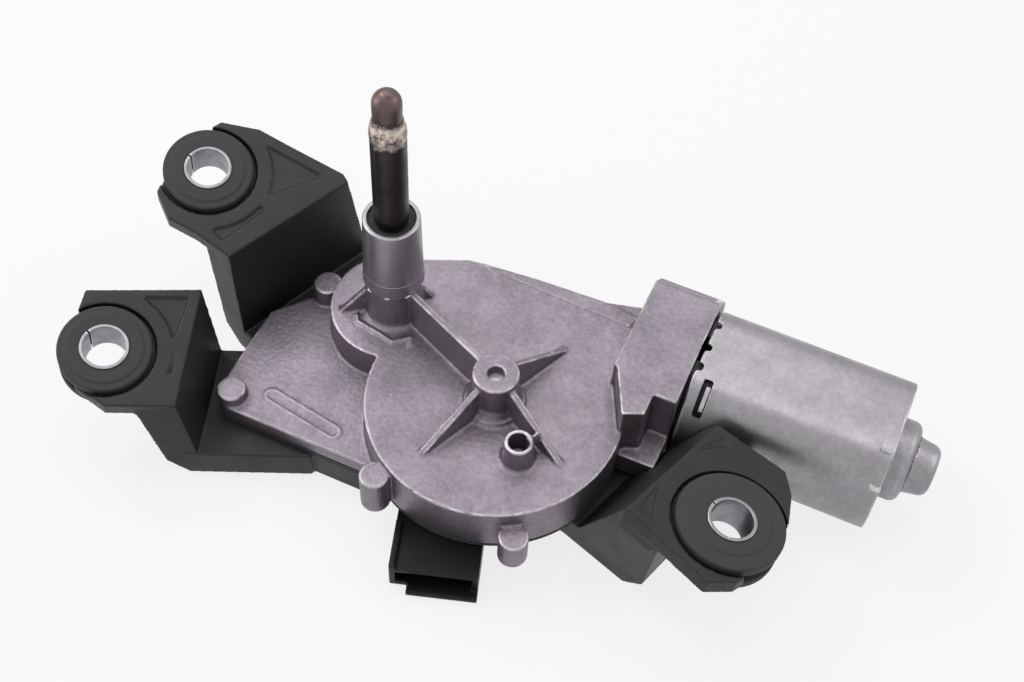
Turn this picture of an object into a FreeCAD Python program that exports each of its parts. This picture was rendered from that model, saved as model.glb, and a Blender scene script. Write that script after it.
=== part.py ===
import FreeCAD, Part
import math
import os
import re
from FreeCAD import Placement, Rotation, Vector

# Rear window wiper motor with gearbox, pivot shaft and three rubber mounts.
# Frame: Z runs up along the output shaft, X along the motor away from the gearbox.
# The origin is where the output shaft's axis meets the mounting bracket's back face.

doc = FreeCAD.newDocument("WiperMotor")
sheet = doc.addObject("Spreadsheet::Sheet", "Sizes")

SIZES = {
    # levels above the bracket's back face
    "bracket_thick": 10.0,
    "tray_floor": 2.5,
    "gasket_thick": 1.0,
    "flange_thick": 5.0,
    "dome_height": 16.0,
    "roof_wall": 2.5,
    "flange_wall": 2.5,
    "boss_height": 14.0,
    # gear dome and sector dome
    "wheel_x": 40.5,
    "wheel_y": -18.0,
    "dome_radius": 37.0,
    "side_wall": 2.5,
    "sector_dome_radius": 19.0,
    "tray_taper": 8.0,
    "back_wall_y": 27.0,
    "back_corner_x": 13.0,
    "back_corner_y": 25.0,
    "back_rise_x": 56.0,
    "back_end_y": 31.8,
    "boss_radius": 6.6,
    "boss_foot_radius": 8.6,
    "boss_foot_height": 4.0,
    "boss_eye_radius": 2.4,
    "boss_eye_depth": 3.0,
    "rib_thick": 2.0,
    "rib_reach": 30.0,
    "rib_turn": -24.0,
    "long_neck_rib_turn": 213.0,
    "long_neck_rib_reach": 17.4,
    "short_neck_rib_turn": 42.0,
    "short_neck_rib_reach": 12.4,
    # flange plate corners
    "flange_left_x": -36.5,
    "flange_front_y": -47.0,
    "flange_left_back_y": -11.5,
    "flange_front_end_x": 16.0,
    "flange_corner_cut": 5.0,
    "flange_back_x": -22.0,
    "flange_back_y": 6.0,
    "frame_x": -10.3,
    "frame_y": -39.4,
    "frame_turn": -9.0,
    "frame_length": 26.5,
    "frame_width": 4.4,
    "frame_line": 0.6,
    "frame_height": 0.35,
    # auxiliary screw boss on the dome
    "peg_x": 54.0,
    "peg_y": -32.3,
    "peg_radius": 4.0,
    "peg_foot_radius": 4.7,
    "peg_height": 8.5,
    "peg_hole_radius": 2.9,
    "peg_hole_depth": 8.0,
    # housing screws and the bosses they enter
    "screw_radius": 2.0,
    "screw_head_radius": 3.4,
    "screw_head_height": 2.6,
    "screw_sunk": 0.6,
    "screw_reach": 5.5,
    "screw_gap": 0.3,
    "column_radius": 4.2,
    "left_boss_x": -31.4,
    "left_boss_y": -42.6,
    "left_boss_top": 20.0,
    "upper_boss_x": -23.5,
    "upper_boss_y": 1.5,
    "upper_boss_top": 22.5,
    "rim_boss_outset": 3.47,
    "front_boss_angle": -120.1,
    "front_boss_top": 25.0,
    "right_boss_angle": -57.9,
    "right_boss_top": 21.5,
    "ledge_boss_x": 79.0,
    "ledge_boss_y": -9.3,
    # motor axis and gearbox head
    "motor_y": 18.5,
    "motor_z": 19.0,
    "head_start": 68.0,
    "head_end": 88.5,
    "head_front": 21.4,
    "head_back": 23.3,
    "head_half_height": 17.6,
    "head_chamfer": 10.5,
    "head_back_chamfer": 7.0,
    "brush_room_radius": 17.2,
    "brush_room_depth": 13.0,
    "ledge_start": 70.0,
    "ledge_front": -14.5,
    "ledge_height": 19.0,
    "lobe_end": 81.8,
    "lobe_front": -12.6,
    "tunnel_radius": 6.5,
    "tunnel_start": 20.5,
    "tail_bush_length": 4.5,
    "tail_bush_radius": 5.2,
    # pivot sleeve, neck and shaft
    "neck_radius": 7.8,
    "neck_foot_radius": 8.6,
    "sleeve_length": 26.0,
    "sleeve_foot_radius": 8.9,
    "sleeve_top_radius": 8.1,
    "sleeve_edge": 0.8,
    "bush_radius": 6.2,
    "bush_length": 13.0,
    "seal_radius": 6.8,
    "seal_depth": 4.5,
    "seal_height": 2.5,
    "seal_drop": 1.0,
    "seal_gap": 0.05,
    "shaft_radius": 5.2,
    "shaft_fit": 0.03,
    "shaft_foot": 2.8,
    "shaft_relief_radius": 4.6,
    "shaft_relief_proud": 0.2,
    "shaft_free_radius": 4.9,
    "shaft_bulge_radius": 5.05,
    "shaft_neck_radius": 3.7,
    "shaft_tip_radius": 3.95,
    "shaft_bulge_foot_drop": 16.5,
    "shaft_bulge_drop": 13.5,
    "shaft_neck_drop": 9.0,
    "shaft_top": 115.0,
    "collar_radius": 8.0,
    "collar_thick": 3.0,
    "washer_radius": 9.0,
    "washer_thick": 1.0,
    "washer_gap": 0.3,
    # output gear pair, pinion and sector
    "gear_module": 1.0,
    "pinion_teeth": 16,
    "sector_teeth": 32,
    "pinion_thick": 5.0,
    "pinion_base": 5.0,
    "sector_thick": 4.0,
    "sector_angle": 240.0,
    "sector_half_span": 46.0,
    "sector_hub_radius": 6.0,
    "sector_pin_radius": 2.5,
    "sector_pin_root": 1.0,
    "sector_seat_radius": 5.0,
    "gear_backlash": 0.16,
    "tail_angle": -60.0,
    "tail_length": 17.0,
    "tail_pin_radius": 2.2,
    "link_gap": 0.3,
    # worm, wheel and connecting rod
    "worm_pitch_radius": 4.5,
    "wheel_teeth": 64,
    "wheel_thick": 8.0,
    "wheel_base": 15.0,
    "wheel_web": 3.0,
    "wheel_rim": 4.0,
    "wheel_hub_radius": 7.0,
    "axle_radius": 3.0,
    "axle_base": 13.4,
    "wheel_fit": 0.04,
    "crank_throw": 7.85,
    "crank_pin_radius": 2.2,
    "rod_thick": 2.0,
    "rod_eye_radius": 4.2,
    "rod_width": 6.5,
    "rod_fit": 0.05,
    "rod_rise": 0.5,
    "parking_ring_radius": 24.0,
    "parking_ring_width": 4.0,
    "parking_ring_thick": 0.5,
    # motor can
    "can_start": 89.5,
    "can_end": 148.0,
    "can_radius": 22.0,
    "can_half_height": 18.7,
    "can_wall": 1.8,
    "can_slot_start": 92.9,
    "can_slot_width": 2.8,
    "can_slot_length": 11.0,
    "can_slot_angle": 135.0,
    "can_notch": 1.8,
    "can_notch_width": 2.6,
    "nose_radius": 12.0,
    "nose_length": 6.0,
    "nose_tip_radius": 7.6,
    "nose_tip_length": 7.0,
    "nose_round": 2.0,
    "rear_bush_radius": 5.5,
    "rear_bush_length": 7.0,
    # armature
    "arm_shaft_radius": 3.0,
    "worm_start": 27.0,
    "worm_end": 54.0,
    "worm_depth": 1.7,
    "worm_backlash": 0.5,
    "mesh_gap": 0.15,
    "core_radius": 14.6,
    "core_start": 103.0,
    "core_end": 134.0,
    "core_slots": 10,
    "core_hub_radius": 6.0,
    "slot_width": 3.4,
    "slot_mouth": 1.2,
    "slot_lip": 1.4,
    "commutator_slit": 0.4,
    "commutator_slit_depth": 1.0,
    "commutator_rim": 1.2,
    "commutator_rim_length": 1.5,
    "coil_overhang": 4.5,
    "coil_radius": 13.2,
    "commutator_radius": 6.0,
    "commutator_start": 86.0,
    "commutator_length": 10.0,
    "magnet_inner": 15.4,
    "magnet_start": 99.0,
    "magnet_end": 138.0,
    "magnet_half_height": 13.0,
    "bearing_radius": 11.0,
    "bearing_thick": 7.0,
    "bearing_groove": 1.2,
    "card_thick": 2.0,
    "card_start": 77.5,
    "card_bore": 8.5,
    "brush_width": 4.5,
    "brush_height": 5.0,
    "brush_length": 6.5,
    "brush_gap": 0.1,
    "brush_box_wall": 0.8,
    # bracket arms and rubber mounts
    "pad_thick": 5.5,
    "pocket_depth": 0.7,
    "pocket_rim": 5.6,
    "arm_wall": 12.5,
    "gusset_drop": 7.0,
    "gusset_reach": 5.0,
    "gusset_sink": 3.0,
    "foot_round": 6.0,
    "foot_reach": 32.0,
    "slot_radius": 9.6,
    "seat_depth": 2.0,
    "seat_gap": 1.2,
    "grommet_proud": 1.6,
    "grommet_under": 3.0,
    "grommet_radius": 12.9,
    "right_grommet_radius": 15.0,
    "spacer_radius": 6.8,
    "spacer_bore": 5.8,
    "spacer_proud": 0.4,
    "spacer_split": 0.6,
    "left_arm_turn": 204.0,
    "left_x": -60.8,
    "left_y": -56.4,
    "left_z": 40.0,
    "upper_arm_turn": 158.4,
    "upper_x": -61.2,
    "upper_y": 2.8,
    "upper_z": 54.0,
    "right_arm_turn": -18.2,
    "right_x": 114.7,
    "right_y": -31.9,
    "right_z": 39.0,
    "can_clearance": 0.8,
    "casting_gap": 1.0,
    # connector and electronics
    "plug_shift": 0.5,
    "plug_inset": 3.0,
    "plug_turn": -72.0,
    "plug_width": 25.0,
    "plug_start": -12.0,
    "plug_length": 15.0,
    "plug_base": 0.4,
    "plug_top": 9.6,
    "plug_wall": 1.8,
    "plug_socket_depth": 12.0,
    "plug_lip": 3.0,
    "plug_lip_share": 0.8,
    "plug_rib_height": 1.2,
    "pin_count": 4,
    "pin_pitch": 4.4,
    "pin_width": 2.4,
    "pin_thick": 0.8,
    "pin_reach": 5.0,
    "pin_root": 1.8,
    "board_x": -33.0,
    "board_y": -37.5,
    "board_width": 10.5,
    "board_length": 25.0,
    "board_thick": 1.6,
    "board_post": 2.0,
    "post_radius": 1.2,
    "post_inset": 1.5,
    "relay_length": 12.0,
    "relay_width": 8.0,
    "relay_height": 4.2,
    "choke_radius": 2.2,
    "choke_length": 9.0,
}

for row, (name, value) in enumerate(SIZES.items(), start=1):
    sheet.set("A%d" % row, name)
    sheet.set("B%d" % row, repr(value))
    sheet.setAlias("B%d" % row, name)
doc.recompute()


class Dimensions:
    """The sheet's values as plain numbers, for the shapes that code works out."""

    def __init__(self, names):
        for name in names:
            setattr(self, name, float(sheet.get(name)))


D = Dimensions(SIZES)
WORD = re.compile(r"[A-Za-z_][A-Za-z_0-9]*")


def bound(text):
    """Turns the sheet's names in a formula into references to its cells."""
    return WORD.sub(lambda m: "Sizes." + m.group(0) if m.group(0) in SIZES else m.group(0), text)


def place(item, x, y, z):
    for letter, text in (("x", x), ("y", y), ("z", z)):
        item.setExpression("Placement.Base." + letter, bound(text))
    return item


ALONG = {"Z": Rotation(), "X": Rotation(Vector(0, 1, 0), 90), "Y": Rotation(Vector(1, 0, 0), -90)}


def cylinder(name, radius, height, x="0", y="0", z="0", along="Z"):
    item = doc.addObject("Part::Cylinder", name)
    item.Placement = Placement(Vector(), ALONG[along])
    item.setExpression("Radius", bound(radius))
    item.setExpression("Height", bound(height))
    return place(item, x, y, z)


def cone(name, low, high, height, x="0", y="0", z="0", along="Z"):
    item = doc.addObject("Part::Cone", name)
    item.Placement = Placement(Vector(), ALONG[along])
    item.setExpression("Radius1", bound(low))
    item.setExpression("Radius2", bound(high))
    item.setExpression("Height", bound(height))
    return place(item, x, y, z)


def box(name, length, width, height, x="0", y="0", z="0"):
    item = doc.addObject("Part::Box", name)
    item.setExpression("Length", bound(length))
    item.setExpression("Width", bound(width))
    item.setExpression("Height", bound(height))
    return place(item, x, y, z)


def shaped(name, shape):
    """A feature whose shape is worked out from the sheet's values."""
    item = doc.addObject("Part::Feature", name)
    item.Shape = shape
    return item


def fuse(name, parts):
    item = doc.addObject("Part::MultiFuse", name)
    item.Shapes = parts
    item.Refine = True
    return item


def cut(name, base, tool):
    item = doc.addObject("Part::Cut", name)
    item.Base = base
    item.Tool = tool
    item.Refine = True
    return item


def common(name, base, tool):
    item = doc.addObject("Part::MultiCommon", name)
    item.Shapes = [base, tool]
    return item


def ring(name, outer, inner, height, x="0", y="0", z="0", along="Z"):
    """A tube: a cylinder with a bore right through."""
    body = cylinder(name + "_round", outer, height, x, y, z, along)
    bore = cylinder(name + "_bore", inner, height, x, y, z, along)
    return cut(name, body, bore)


NODES = {}


def node(name, item):
    item.Label = name
    NODES[name] = item
    return item


def prism(points, low, high):
    """A flat outline in X and Y, raised from one level to another."""
    corners = [Vector(x, y, low) for x, y in points]
    face = Part.Face(Part.makePolygon(corners + corners[:1]))
    return face.extrude(Vector(0, 0, high - low))


def polar(angle, reach):
    return reach * math.cos(math.radians(angle)), reach * math.sin(math.radians(angle))


# Levels that several pieces share
PARTING = "bracket_thick + gasket_thick"
FLANGE_TOP = PARTING + " + flange_thick"
DOME_TOP = PARTING + " + dome_height"
BOSS_TOP = DOME_TOP + " + boss_height"
parting = D.bracket_thick + D.gasket_thick
flange_top = parting + D.flange_thick
dome_top = parting + D.dome_height
boss_top = dome_top + D.boss_height


# Outline of the flange and of the tray under it, drawn in by a margin
def flange_outline(margin):
    left = D.flange_left_x + margin
    front = D.flange_front_y + margin
    cut_off = D.flange_corner_cut
    return [
        (left, D.flange_left_back_y - margin * 0.4),
        (left, front + cut_off),
        (left + cut_off, front),
        (D.flange_front_end_x, front),
        (D.wheel_x, D.wheel_y),
        (D.wheel_x, D.motor_y - margin),
        (D.back_corner_x, D.back_corner_y - margin),
        (0.0, D.sector_dome_radius - margin),
        (D.flange_back_x + margin * 0.6, D.flange_back_y + margin * -1.2),
    ]


def high_outline(margin):
    """The raised block between the two domes and the worm tunnel."""
    return [
        (0.0, D.sector_dome_radius - margin),
        (D.back_corner_x, D.back_corner_y - margin),
        (D.wheel_x - D.boss_radius, D.back_wall_y - margin),
        (D.back_rise_x, D.back_wall_y + 1.0 - margin),
        (D.head_start + 1.0, D.back_end_y - margin),
        (D.head_start + 1.0, D.wheel_y + margin),
        (D.wheel_x, D.wheel_y),
        (0.0, 0.0),
    ]


def head_shape(margin, start, end):
    """The gearbox head: a bevelled block around the motor's axis, grown by a margin."""
    y0, y1 = D.motor_y - D.head_front - margin, D.motor_y + D.head_back + margin
    z0 = D.motor_z - D.head_half_height - margin
    z1 = D.motor_z + D.head_half_height + margin
    low, high = D.head_chamfer, D.head_back_chamfer
    corners = [
        (y0 + low, z0), (y1 - low, z0), (y1, z0 + low), (y1, z1 - high),
        (y1 - high, z1), (y0, z1), (y0, z0 + low),
    ]
    points = [Vector(start, y, z) for y, z in corners]
    face = Part.Face(Part.makePolygon(points + points[:1]))
    return face.extrude(Vector(end - start, 0, 0))


def wedge_rib(centre, angle, inner, outer, low, high):
    """A triangular rib that falls from a boss to the dome's top."""
    half = D.rib_thick / 2
    profile = [Vector(inner, -half, low), Vector(outer, -half, low), Vector(inner, -half, high)]
    rib = Part.Face(Part.makePolygon(profile + profile[:1])).extrude(Vector(0, D.rib_thick, 0))
    rib.Placement = Placement(Vector(centre[0], centre[1], 0), Rotation(Vector(0, 0, 1), angle))
    return rib


# Screws pass through these spots; the last one is hidden under the ledge of the head
SCREW_SPOTS = ("left", "upper", "ledge")
CORNER_BOSSES = ("left", "upper", "front", "right")


def spot_xy(spot):
    """Where a boss stands: at its own place, or just outside the gear dome's rim."""
    if hasattr(D, spot + "_boss_x"):
        return getattr(D, spot + "_boss_x"), getattr(D, spot + "_boss_y")
    dx, dy = polar(getattr(D, spot + "_boss_angle"), D.dome_radius + D.rim_boss_outset)
    return D.wheel_x + dx, D.wheel_y + dy


def spot_place(spot):
    """The same place, as formulas of the sheet's names."""
    if hasattr(D, spot + "_boss_x"):
        return spot + "_boss_x", spot + "_boss_y"
    reach = " + (dome_radius + rim_boss_outset) * "
    return ("wheel_x" + reach + "cos(" + spot + "_boss_angle)",
            "wheel_y" + reach + "sin(" + spot + "_boss_angle)")


def lobe_outline():
    """Top outline of the block in front of the head, which hugs the gear dome."""
    front = D.motor_y - D.head_front
    return [
        (D.head_start, D.motor_y),
        (D.head_start + 1.0, front + 4.5),
        (D.ledge_start + 6.0, D.lobe_front),
        (D.lobe_end, D.lobe_front + 2.6),
        (D.lobe_end, front),
        (D.lobe_end, D.motor_y),
    ]


def label_frame():
    """A low raised frame on the flange, left bare inside."""

    def bar(margin):
        half = D.frame_width / 2 - margin
        reach = D.frame_length / 2 - D.frame_width / 2
        block = Part.makeBox(2 * reach, 2 * half, D.frame_height, Vector(-reach, -half, 0))
        for x in (-reach, reach):
            block = block.fuse(Part.makeCylinder(half, D.frame_height, Vector(x, 0, 0)))
        return block

    frame = bar(0.0).cut(bar(D.frame_line))
    frame.Placement = Placement(Vector(D.frame_x, D.frame_y, flange_top),
                                Rotation(Vector(0, 0, 1), D.frame_turn))
    return frame


# Gear housing, one light alloy casting
def gear_housing():
    wheel = ("wheel_x", "wheel_y")
    solids = [
        shaped("flange_plate", prism(flange_outline(0.0), parting, flange_top)),
        shaped("raised_block", prism(high_outline(0.0), parting, dome_top)),
        cylinder("gear_dome", "dome_radius", "dome_height", *wheel, PARTING),
        cylinder("sector_dome", "sector_dome_radius", "dome_height", "0", "0", PARTING),
        shaped("head_block", head_shape(0.0, D.head_start, D.head_end)),
        box("head_ledge", "head_end - ledge_start", "motor_y - ledge_front",
            "ledge_height - (" + PARTING + ")", "ledge_start", "ledge_front", PARTING),
        shaped("head_lobe", prism(lobe_outline(), D.ledge_height, D.motor_z + D.head_half_height)),
    ]
    # The block in front of the head hugs the gear dome, so the head's corner is taken off there
    left, front = D.head_start - 1.0, D.lobe_front - 1.0
    corner = prism([(left, front), lobe_outline()[2], lobe_outline()[1], (left, lobe_outline()[1][1])],
                   dome_top, D.motor_z + D.head_half_height)
    rooms = [
        shaped("head_corner", corner),
        cylinder("wheel_room", "dome_radius - side_wall", "dome_height - roof_wall", *wheel, PARTING),
        cylinder("sector_room", "sector_dome_radius - side_wall", "dome_height - roof_wall",
                 "0", "0", PARTING),
        shaped("flange_room", prism(flange_outline(D.side_wall), parting,
                                    flange_top - D.flange_wall)),
        cylinder("worm_tunnel", "tunnel_radius", "head_start - tunnel_start",
                 "tunnel_start", "motor_y", "motor_z", "X"),
        cylinder("tail_seat", "tail_bush_radius", "tail_bush_length",
                 "tunnel_start - tail_bush_length", "motor_y", "motor_z", "X"),
        cylinder("bearing_seat", "bearing_radius", "head_end - head_start",
                 "head_start", "motor_y", "motor_z", "X"),
        cylinder("brush_room", "brush_room_radius", "brush_room_depth",
                 "head_end - brush_room_depth", "motor_y", "motor_z", "X"),
    ]
    hollow = cut("hollow_casting", fuse("casting_block", solids), fuse("casting_rooms", rooms))
    extras = [
        cone("axle_boss_foot", "boss_foot_radius", "boss_radius", "boss_foot_height",
             *wheel, DOME_TOP),
        cylinder("axle_boss", "boss_radius", "boss_height + roof_wall", *wheel,
                 DOME_TOP + " - roof_wall"),
        cone("neck", "neck_foot_radius", "neck_radius", "boss_height", "0", "0", DOME_TOP),
        cone("peg", "peg_foot_radius", "peg_radius", "peg_height", "peg_x", "peg_y", DOME_TOP),
    ]
    centre = (D.wheel_x, D.wheel_y)
    for step, angle in enumerate((D.rib_turn - 90.0, D.rib_turn, D.rib_turn + 90.0)):
        extras.append(shaped("dome_rib_%d" % step, wedge_rib(
            centre, angle, D.boss_radius * 0.6, D.rib_reach, dome_top - D.rib_thick / 2, boss_top)))
    span = math.hypot(D.wheel_x, D.wheel_y)
    bridge = Part.makeBox(span, D.rib_thick, D.boss_height, Vector(0, -D.rib_thick / 2, dome_top))
    bridge.Placement = Placement(Vector(), Rotation(
        Vector(0, 0, 1), math.degrees(math.atan2(D.wheel_y, D.wheel_x))))
    extras.append(shaped("bridge_rib", bridge))
    neck_ribs = ((D.short_neck_rib_turn, D.short_neck_rib_reach), (D.long_neck_rib_turn, D.long_neck_rib_reach))
    for step, (angle, reach) in enumerate(neck_ribs):
        extras.append(shaped("neck_rib_%d" % step, wedge_rib(
            (0.0, 0.0), angle, D.neck_radius * 0.6, reach,
            dome_top - D.rib_thick / 2, boss_top)))
    extras.append(shaped("label_frame", label_frame()))
    for spot in CORNER_BOSSES:
        extras.append(cylinder(spot + "_corner_boss", "column_radius",
                               spot + "_boss_top - (" + PARTING + ")", *spot_place(spot), PARTING))
    body = fuse("casting", [hollow] + extras)
    bores = [
        cylinder("axle_bore", "axle_radius", "boss_height + roof_wall - boss_eye_depth",
                 *wheel, DOME_TOP + " - roof_wall"),
        cylinder("axle_eye", "boss_eye_radius", "boss_eye_depth", *wheel,
                 BOSS_TOP + " - boss_eye_depth"),
        cylinder("shaft_bore", "bush_radius", "boss_height + roof_wall", "0", "0",
                 DOME_TOP + " - roof_wall"),
        cylinder("peg_hole", "peg_hole_radius", "peg_hole_depth", "peg_x", "peg_y",
                 DOME_TOP + " + peg_height - peg_hole_depth"),
    ]
    for spot in SCREW_SPOTS:
        bores.append(cylinder(spot + "_screw_hole", "screw_radius", "screw_reach",
                              *spot_place(spot), PARTING))
    node("gear_housing", cut("gear_housing", body, fuse("casting_bores", bores)))


# Pivot sleeve, bushes, seal and washer around the output shaft
def pivot_pieces():
    low = "sleeve_length - sleeve_edge"
    shell = fuse("sleeve_shell", [
        cone("sleeve_wall", "sleeve_foot_radius", "sleeve_top_radius", low, "0", "0", BOSS_TOP),
        cone("sleeve_rim", "sleeve_top_radius", "sleeve_top_radius - sleeve_edge", "sleeve_edge",
             "0", "0", BOSS_TOP + " + " + low),
    ])
    hole = fuse("sleeve_hole", [
        cylinder("sleeve_bore", "bush_radius", "sleeve_length", "0", "0", BOSS_TOP),
        cylinder("seal_seat", "seal_radius", "seal_depth", "0", "0",
                 BOSS_TOP + " + sleeve_length - seal_depth"),
    ])
    node("pivot_sleeve", cut("pivot_sleeve", shell, hole))
    node("lower_shaft_bush", ring("lower_shaft_bush", "bush_radius", "shaft_radius + shaft_fit",
                                  "bush_length", z=BOSS_TOP + " - bush_length"))
    node("upper_shaft_bush", ring("upper_shaft_bush", "bush_radius", "shaft_radius + shaft_fit",
                                  "bush_length", z=BOSS_TOP + " + sleeve_length - seal_depth - bush_length"))
    node("shaft_seal", ring("shaft_seal", "seal_radius", "shaft_radius + seal_gap", "seal_height",
                            z=BOSS_TOP + " + sleeve_length - seal_drop - seal_height"))
    node("thrust_washer", ring("thrust_washer", "washer_radius", "shaft_radius + shaft_fit",
                               "washer_thick", z=DOME_TOP + " - roof_wall - washer_thick"))


# Output shaft with its collar
def output_shaft():
    plain_end = BOSS_TOP + " + sleeve_length - seal_drop"
    free_start = BOSS_TOP + " + sleeve_length + shaft_relief_proud"
    plain = cylinder("shaft_plain", "shaft_radius", plain_end + " - shaft_foot", z="shaft_foot")
    relief = cylinder("shaft_relief", "shaft_relief_radius", "seal_drop + shaft_relief_proud",
                      z=plain_end)
    free = cylinder("shaft_free_end", "shaft_free_radius",
                    "shaft_top - shaft_bulge_foot_drop - (" + free_start + ")", z=free_start)
    bulge = cone("shaft_bulge", "shaft_free_radius", "shaft_bulge_radius",
                 "shaft_bulge_foot_drop - shaft_bulge_drop", z="shaft_top - shaft_bulge_foot_drop")
    taper = cone("shaft_taper", "shaft_bulge_radius", "shaft_neck_radius",
                 "shaft_bulge_drop - shaft_neck_drop", z="shaft_top - shaft_bulge_drop")
    stud = cylinder("shaft_stud", "shaft_tip_radius", "shaft_neck_drop - shaft_tip_radius",
                    z="shaft_top - shaft_neck_drop")
    tip = doc.addObject("Part::Sphere", "shaft_tip")
    tip.setExpression("Radius", bound("shaft_tip_radius"))
    place(tip, "0", "0", "shaft_top - shaft_tip_radius")
    node("output_shaft", fuse("output_shaft", [plain, relief, free, bulge, taper, stud, tip]))
    node("shaft_collar", ring("shaft_collar", "collar_radius", "shaft_radius", "collar_thick",
                              z=DOME_TOP + " - roof_wall - washer_thick - washer_gap - collar_thick"))


def gear_outline(teeth, turn):
    """Involute tooth outline, thinned by the backlash; a tooth points along the turn."""
    pitch = D.gear_module * teeth / 2
    base = pitch * math.cos(math.radians(20.0))
    tip = pitch + D.gear_module * 0.9
    root = pitch - D.gear_module * 1.2
    half_tooth = math.pi / (2 * teeth) - D.gear_backlash / (2 * pitch)

    def flank(radius):
        if radius <= base:
            return 0.0
        angle = math.acos(base / radius)
        return math.tan(angle) - angle

    at_pitch = flank(pitch)
    lows = max(base, root)
    radii = [root] + [lows + (tip - lows) * step / 4 for step in range(1, 5)]
    points = []
    for tooth in range(teeth):
        middle = math.radians(turn) + 2 * math.pi * tooth / teeth
        for radius in radii:
            angle = middle - half_tooth - at_pitch + flank(radius)
            points.append((radius * math.cos(angle), radius * math.sin(angle)))
        for radius in reversed(radii):
            angle = middle + half_tooth + at_pitch - flank(radius)
            points.append((radius * math.cos(angle), radius * math.sin(angle)))
    return points


# Output pinion and the toothed sector that turns it
def output_gears():
    teeth = int(D.pinion_teeth)
    blank = prism(gear_outline(teeth, D.sector_angle), D.pinion_base, D.pinion_base + D.pinion_thick)
    bore = Part.makeCylinder(D.shaft_radius, D.pinion_thick, Vector(0, 0, D.pinion_base))
    node("output_pinion", shaped("output_pinion", blank.cut(bore)))

    teeth = int(D.sector_teeth)
    low, high = D.pinion_base, D.pinion_base + D.sector_thick
    towards = D.sector_angle + 180.0
    wheel = prism(gear_outline(teeth, towards + 180.0 / teeth), low, high)
    reach = D.gear_module * teeth
    fan = prism([(0.0, 0.0)] + [polar(towards + D.sector_half_span * step, reach)
                                for step in (-1.0, -0.5, 0.0, 0.5, 1.0)], low, high)
    arm_end = polar(D.tail_angle, D.tail_length)
    arm = Part.makeBox(D.tail_length, D.rod_width, high - low, Vector(0, -D.rod_width / 2, low))
    arm.rotate(Vector(), Vector(0, 0, 1), D.tail_angle)
    thick = high - low
    plate = wheel.common(fan)
    plate = plate.fuse(Part.makeCylinder(D.sector_hub_radius, thick, Vector(0, 0, low)))
    plate = plate.fuse(arm)
    plate = plate.fuse(Part.makeCylinder(D.rod_eye_radius, thick, Vector(arm_end[0], arm_end[1], low)))
    plate = plate.fuse(Part.makeCylinder(
        D.tail_pin_radius, rod_base() - D.link_gap - low, Vector(arm_end[0], arm_end[1], low)))
    plate = plate.cut(Part.makeCylinder(D.sector_pin_radius + D.shaft_fit, thick, Vector(0, 0, low)))
    item = shaped("sector_gear", plate.removeSplitter())
    item.Placement = Placement(Vector(*sector_centre(), 0), Rotation())
    node("sector_gear", item)
    pin_x, pin_y = sector_centre()
    pin = Part.makeCylinder(D.sector_pin_radius, high + D.link_gap - D.sector_pin_root,
                            Vector(pin_x, pin_y, D.sector_pin_root))
    node("sector_pin", shaped("sector_pin", pin))


def sector_centre():
    return polar(D.sector_angle, D.gear_module * (D.pinion_teeth + D.sector_teeth) / 2)


def tail_eye():
    x, y = sector_centre()
    dx, dy = polar(D.tail_angle, D.tail_length)
    return x + dx, y + dy


def rod_base():
    return D.pinion_base + D.pinion_thick + D.rod_rise


def crank_centre():
    """The crank pin stands off the wheel's axis, square to the rod."""
    x, y = tail_eye()
    angle = math.degrees(math.atan2(D.wheel_y - y, D.wheel_x - x)) - 90.0
    dx, dy = polar(angle, D.crank_throw)
    return D.wheel_x + dx, D.wheel_y + dy


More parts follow.
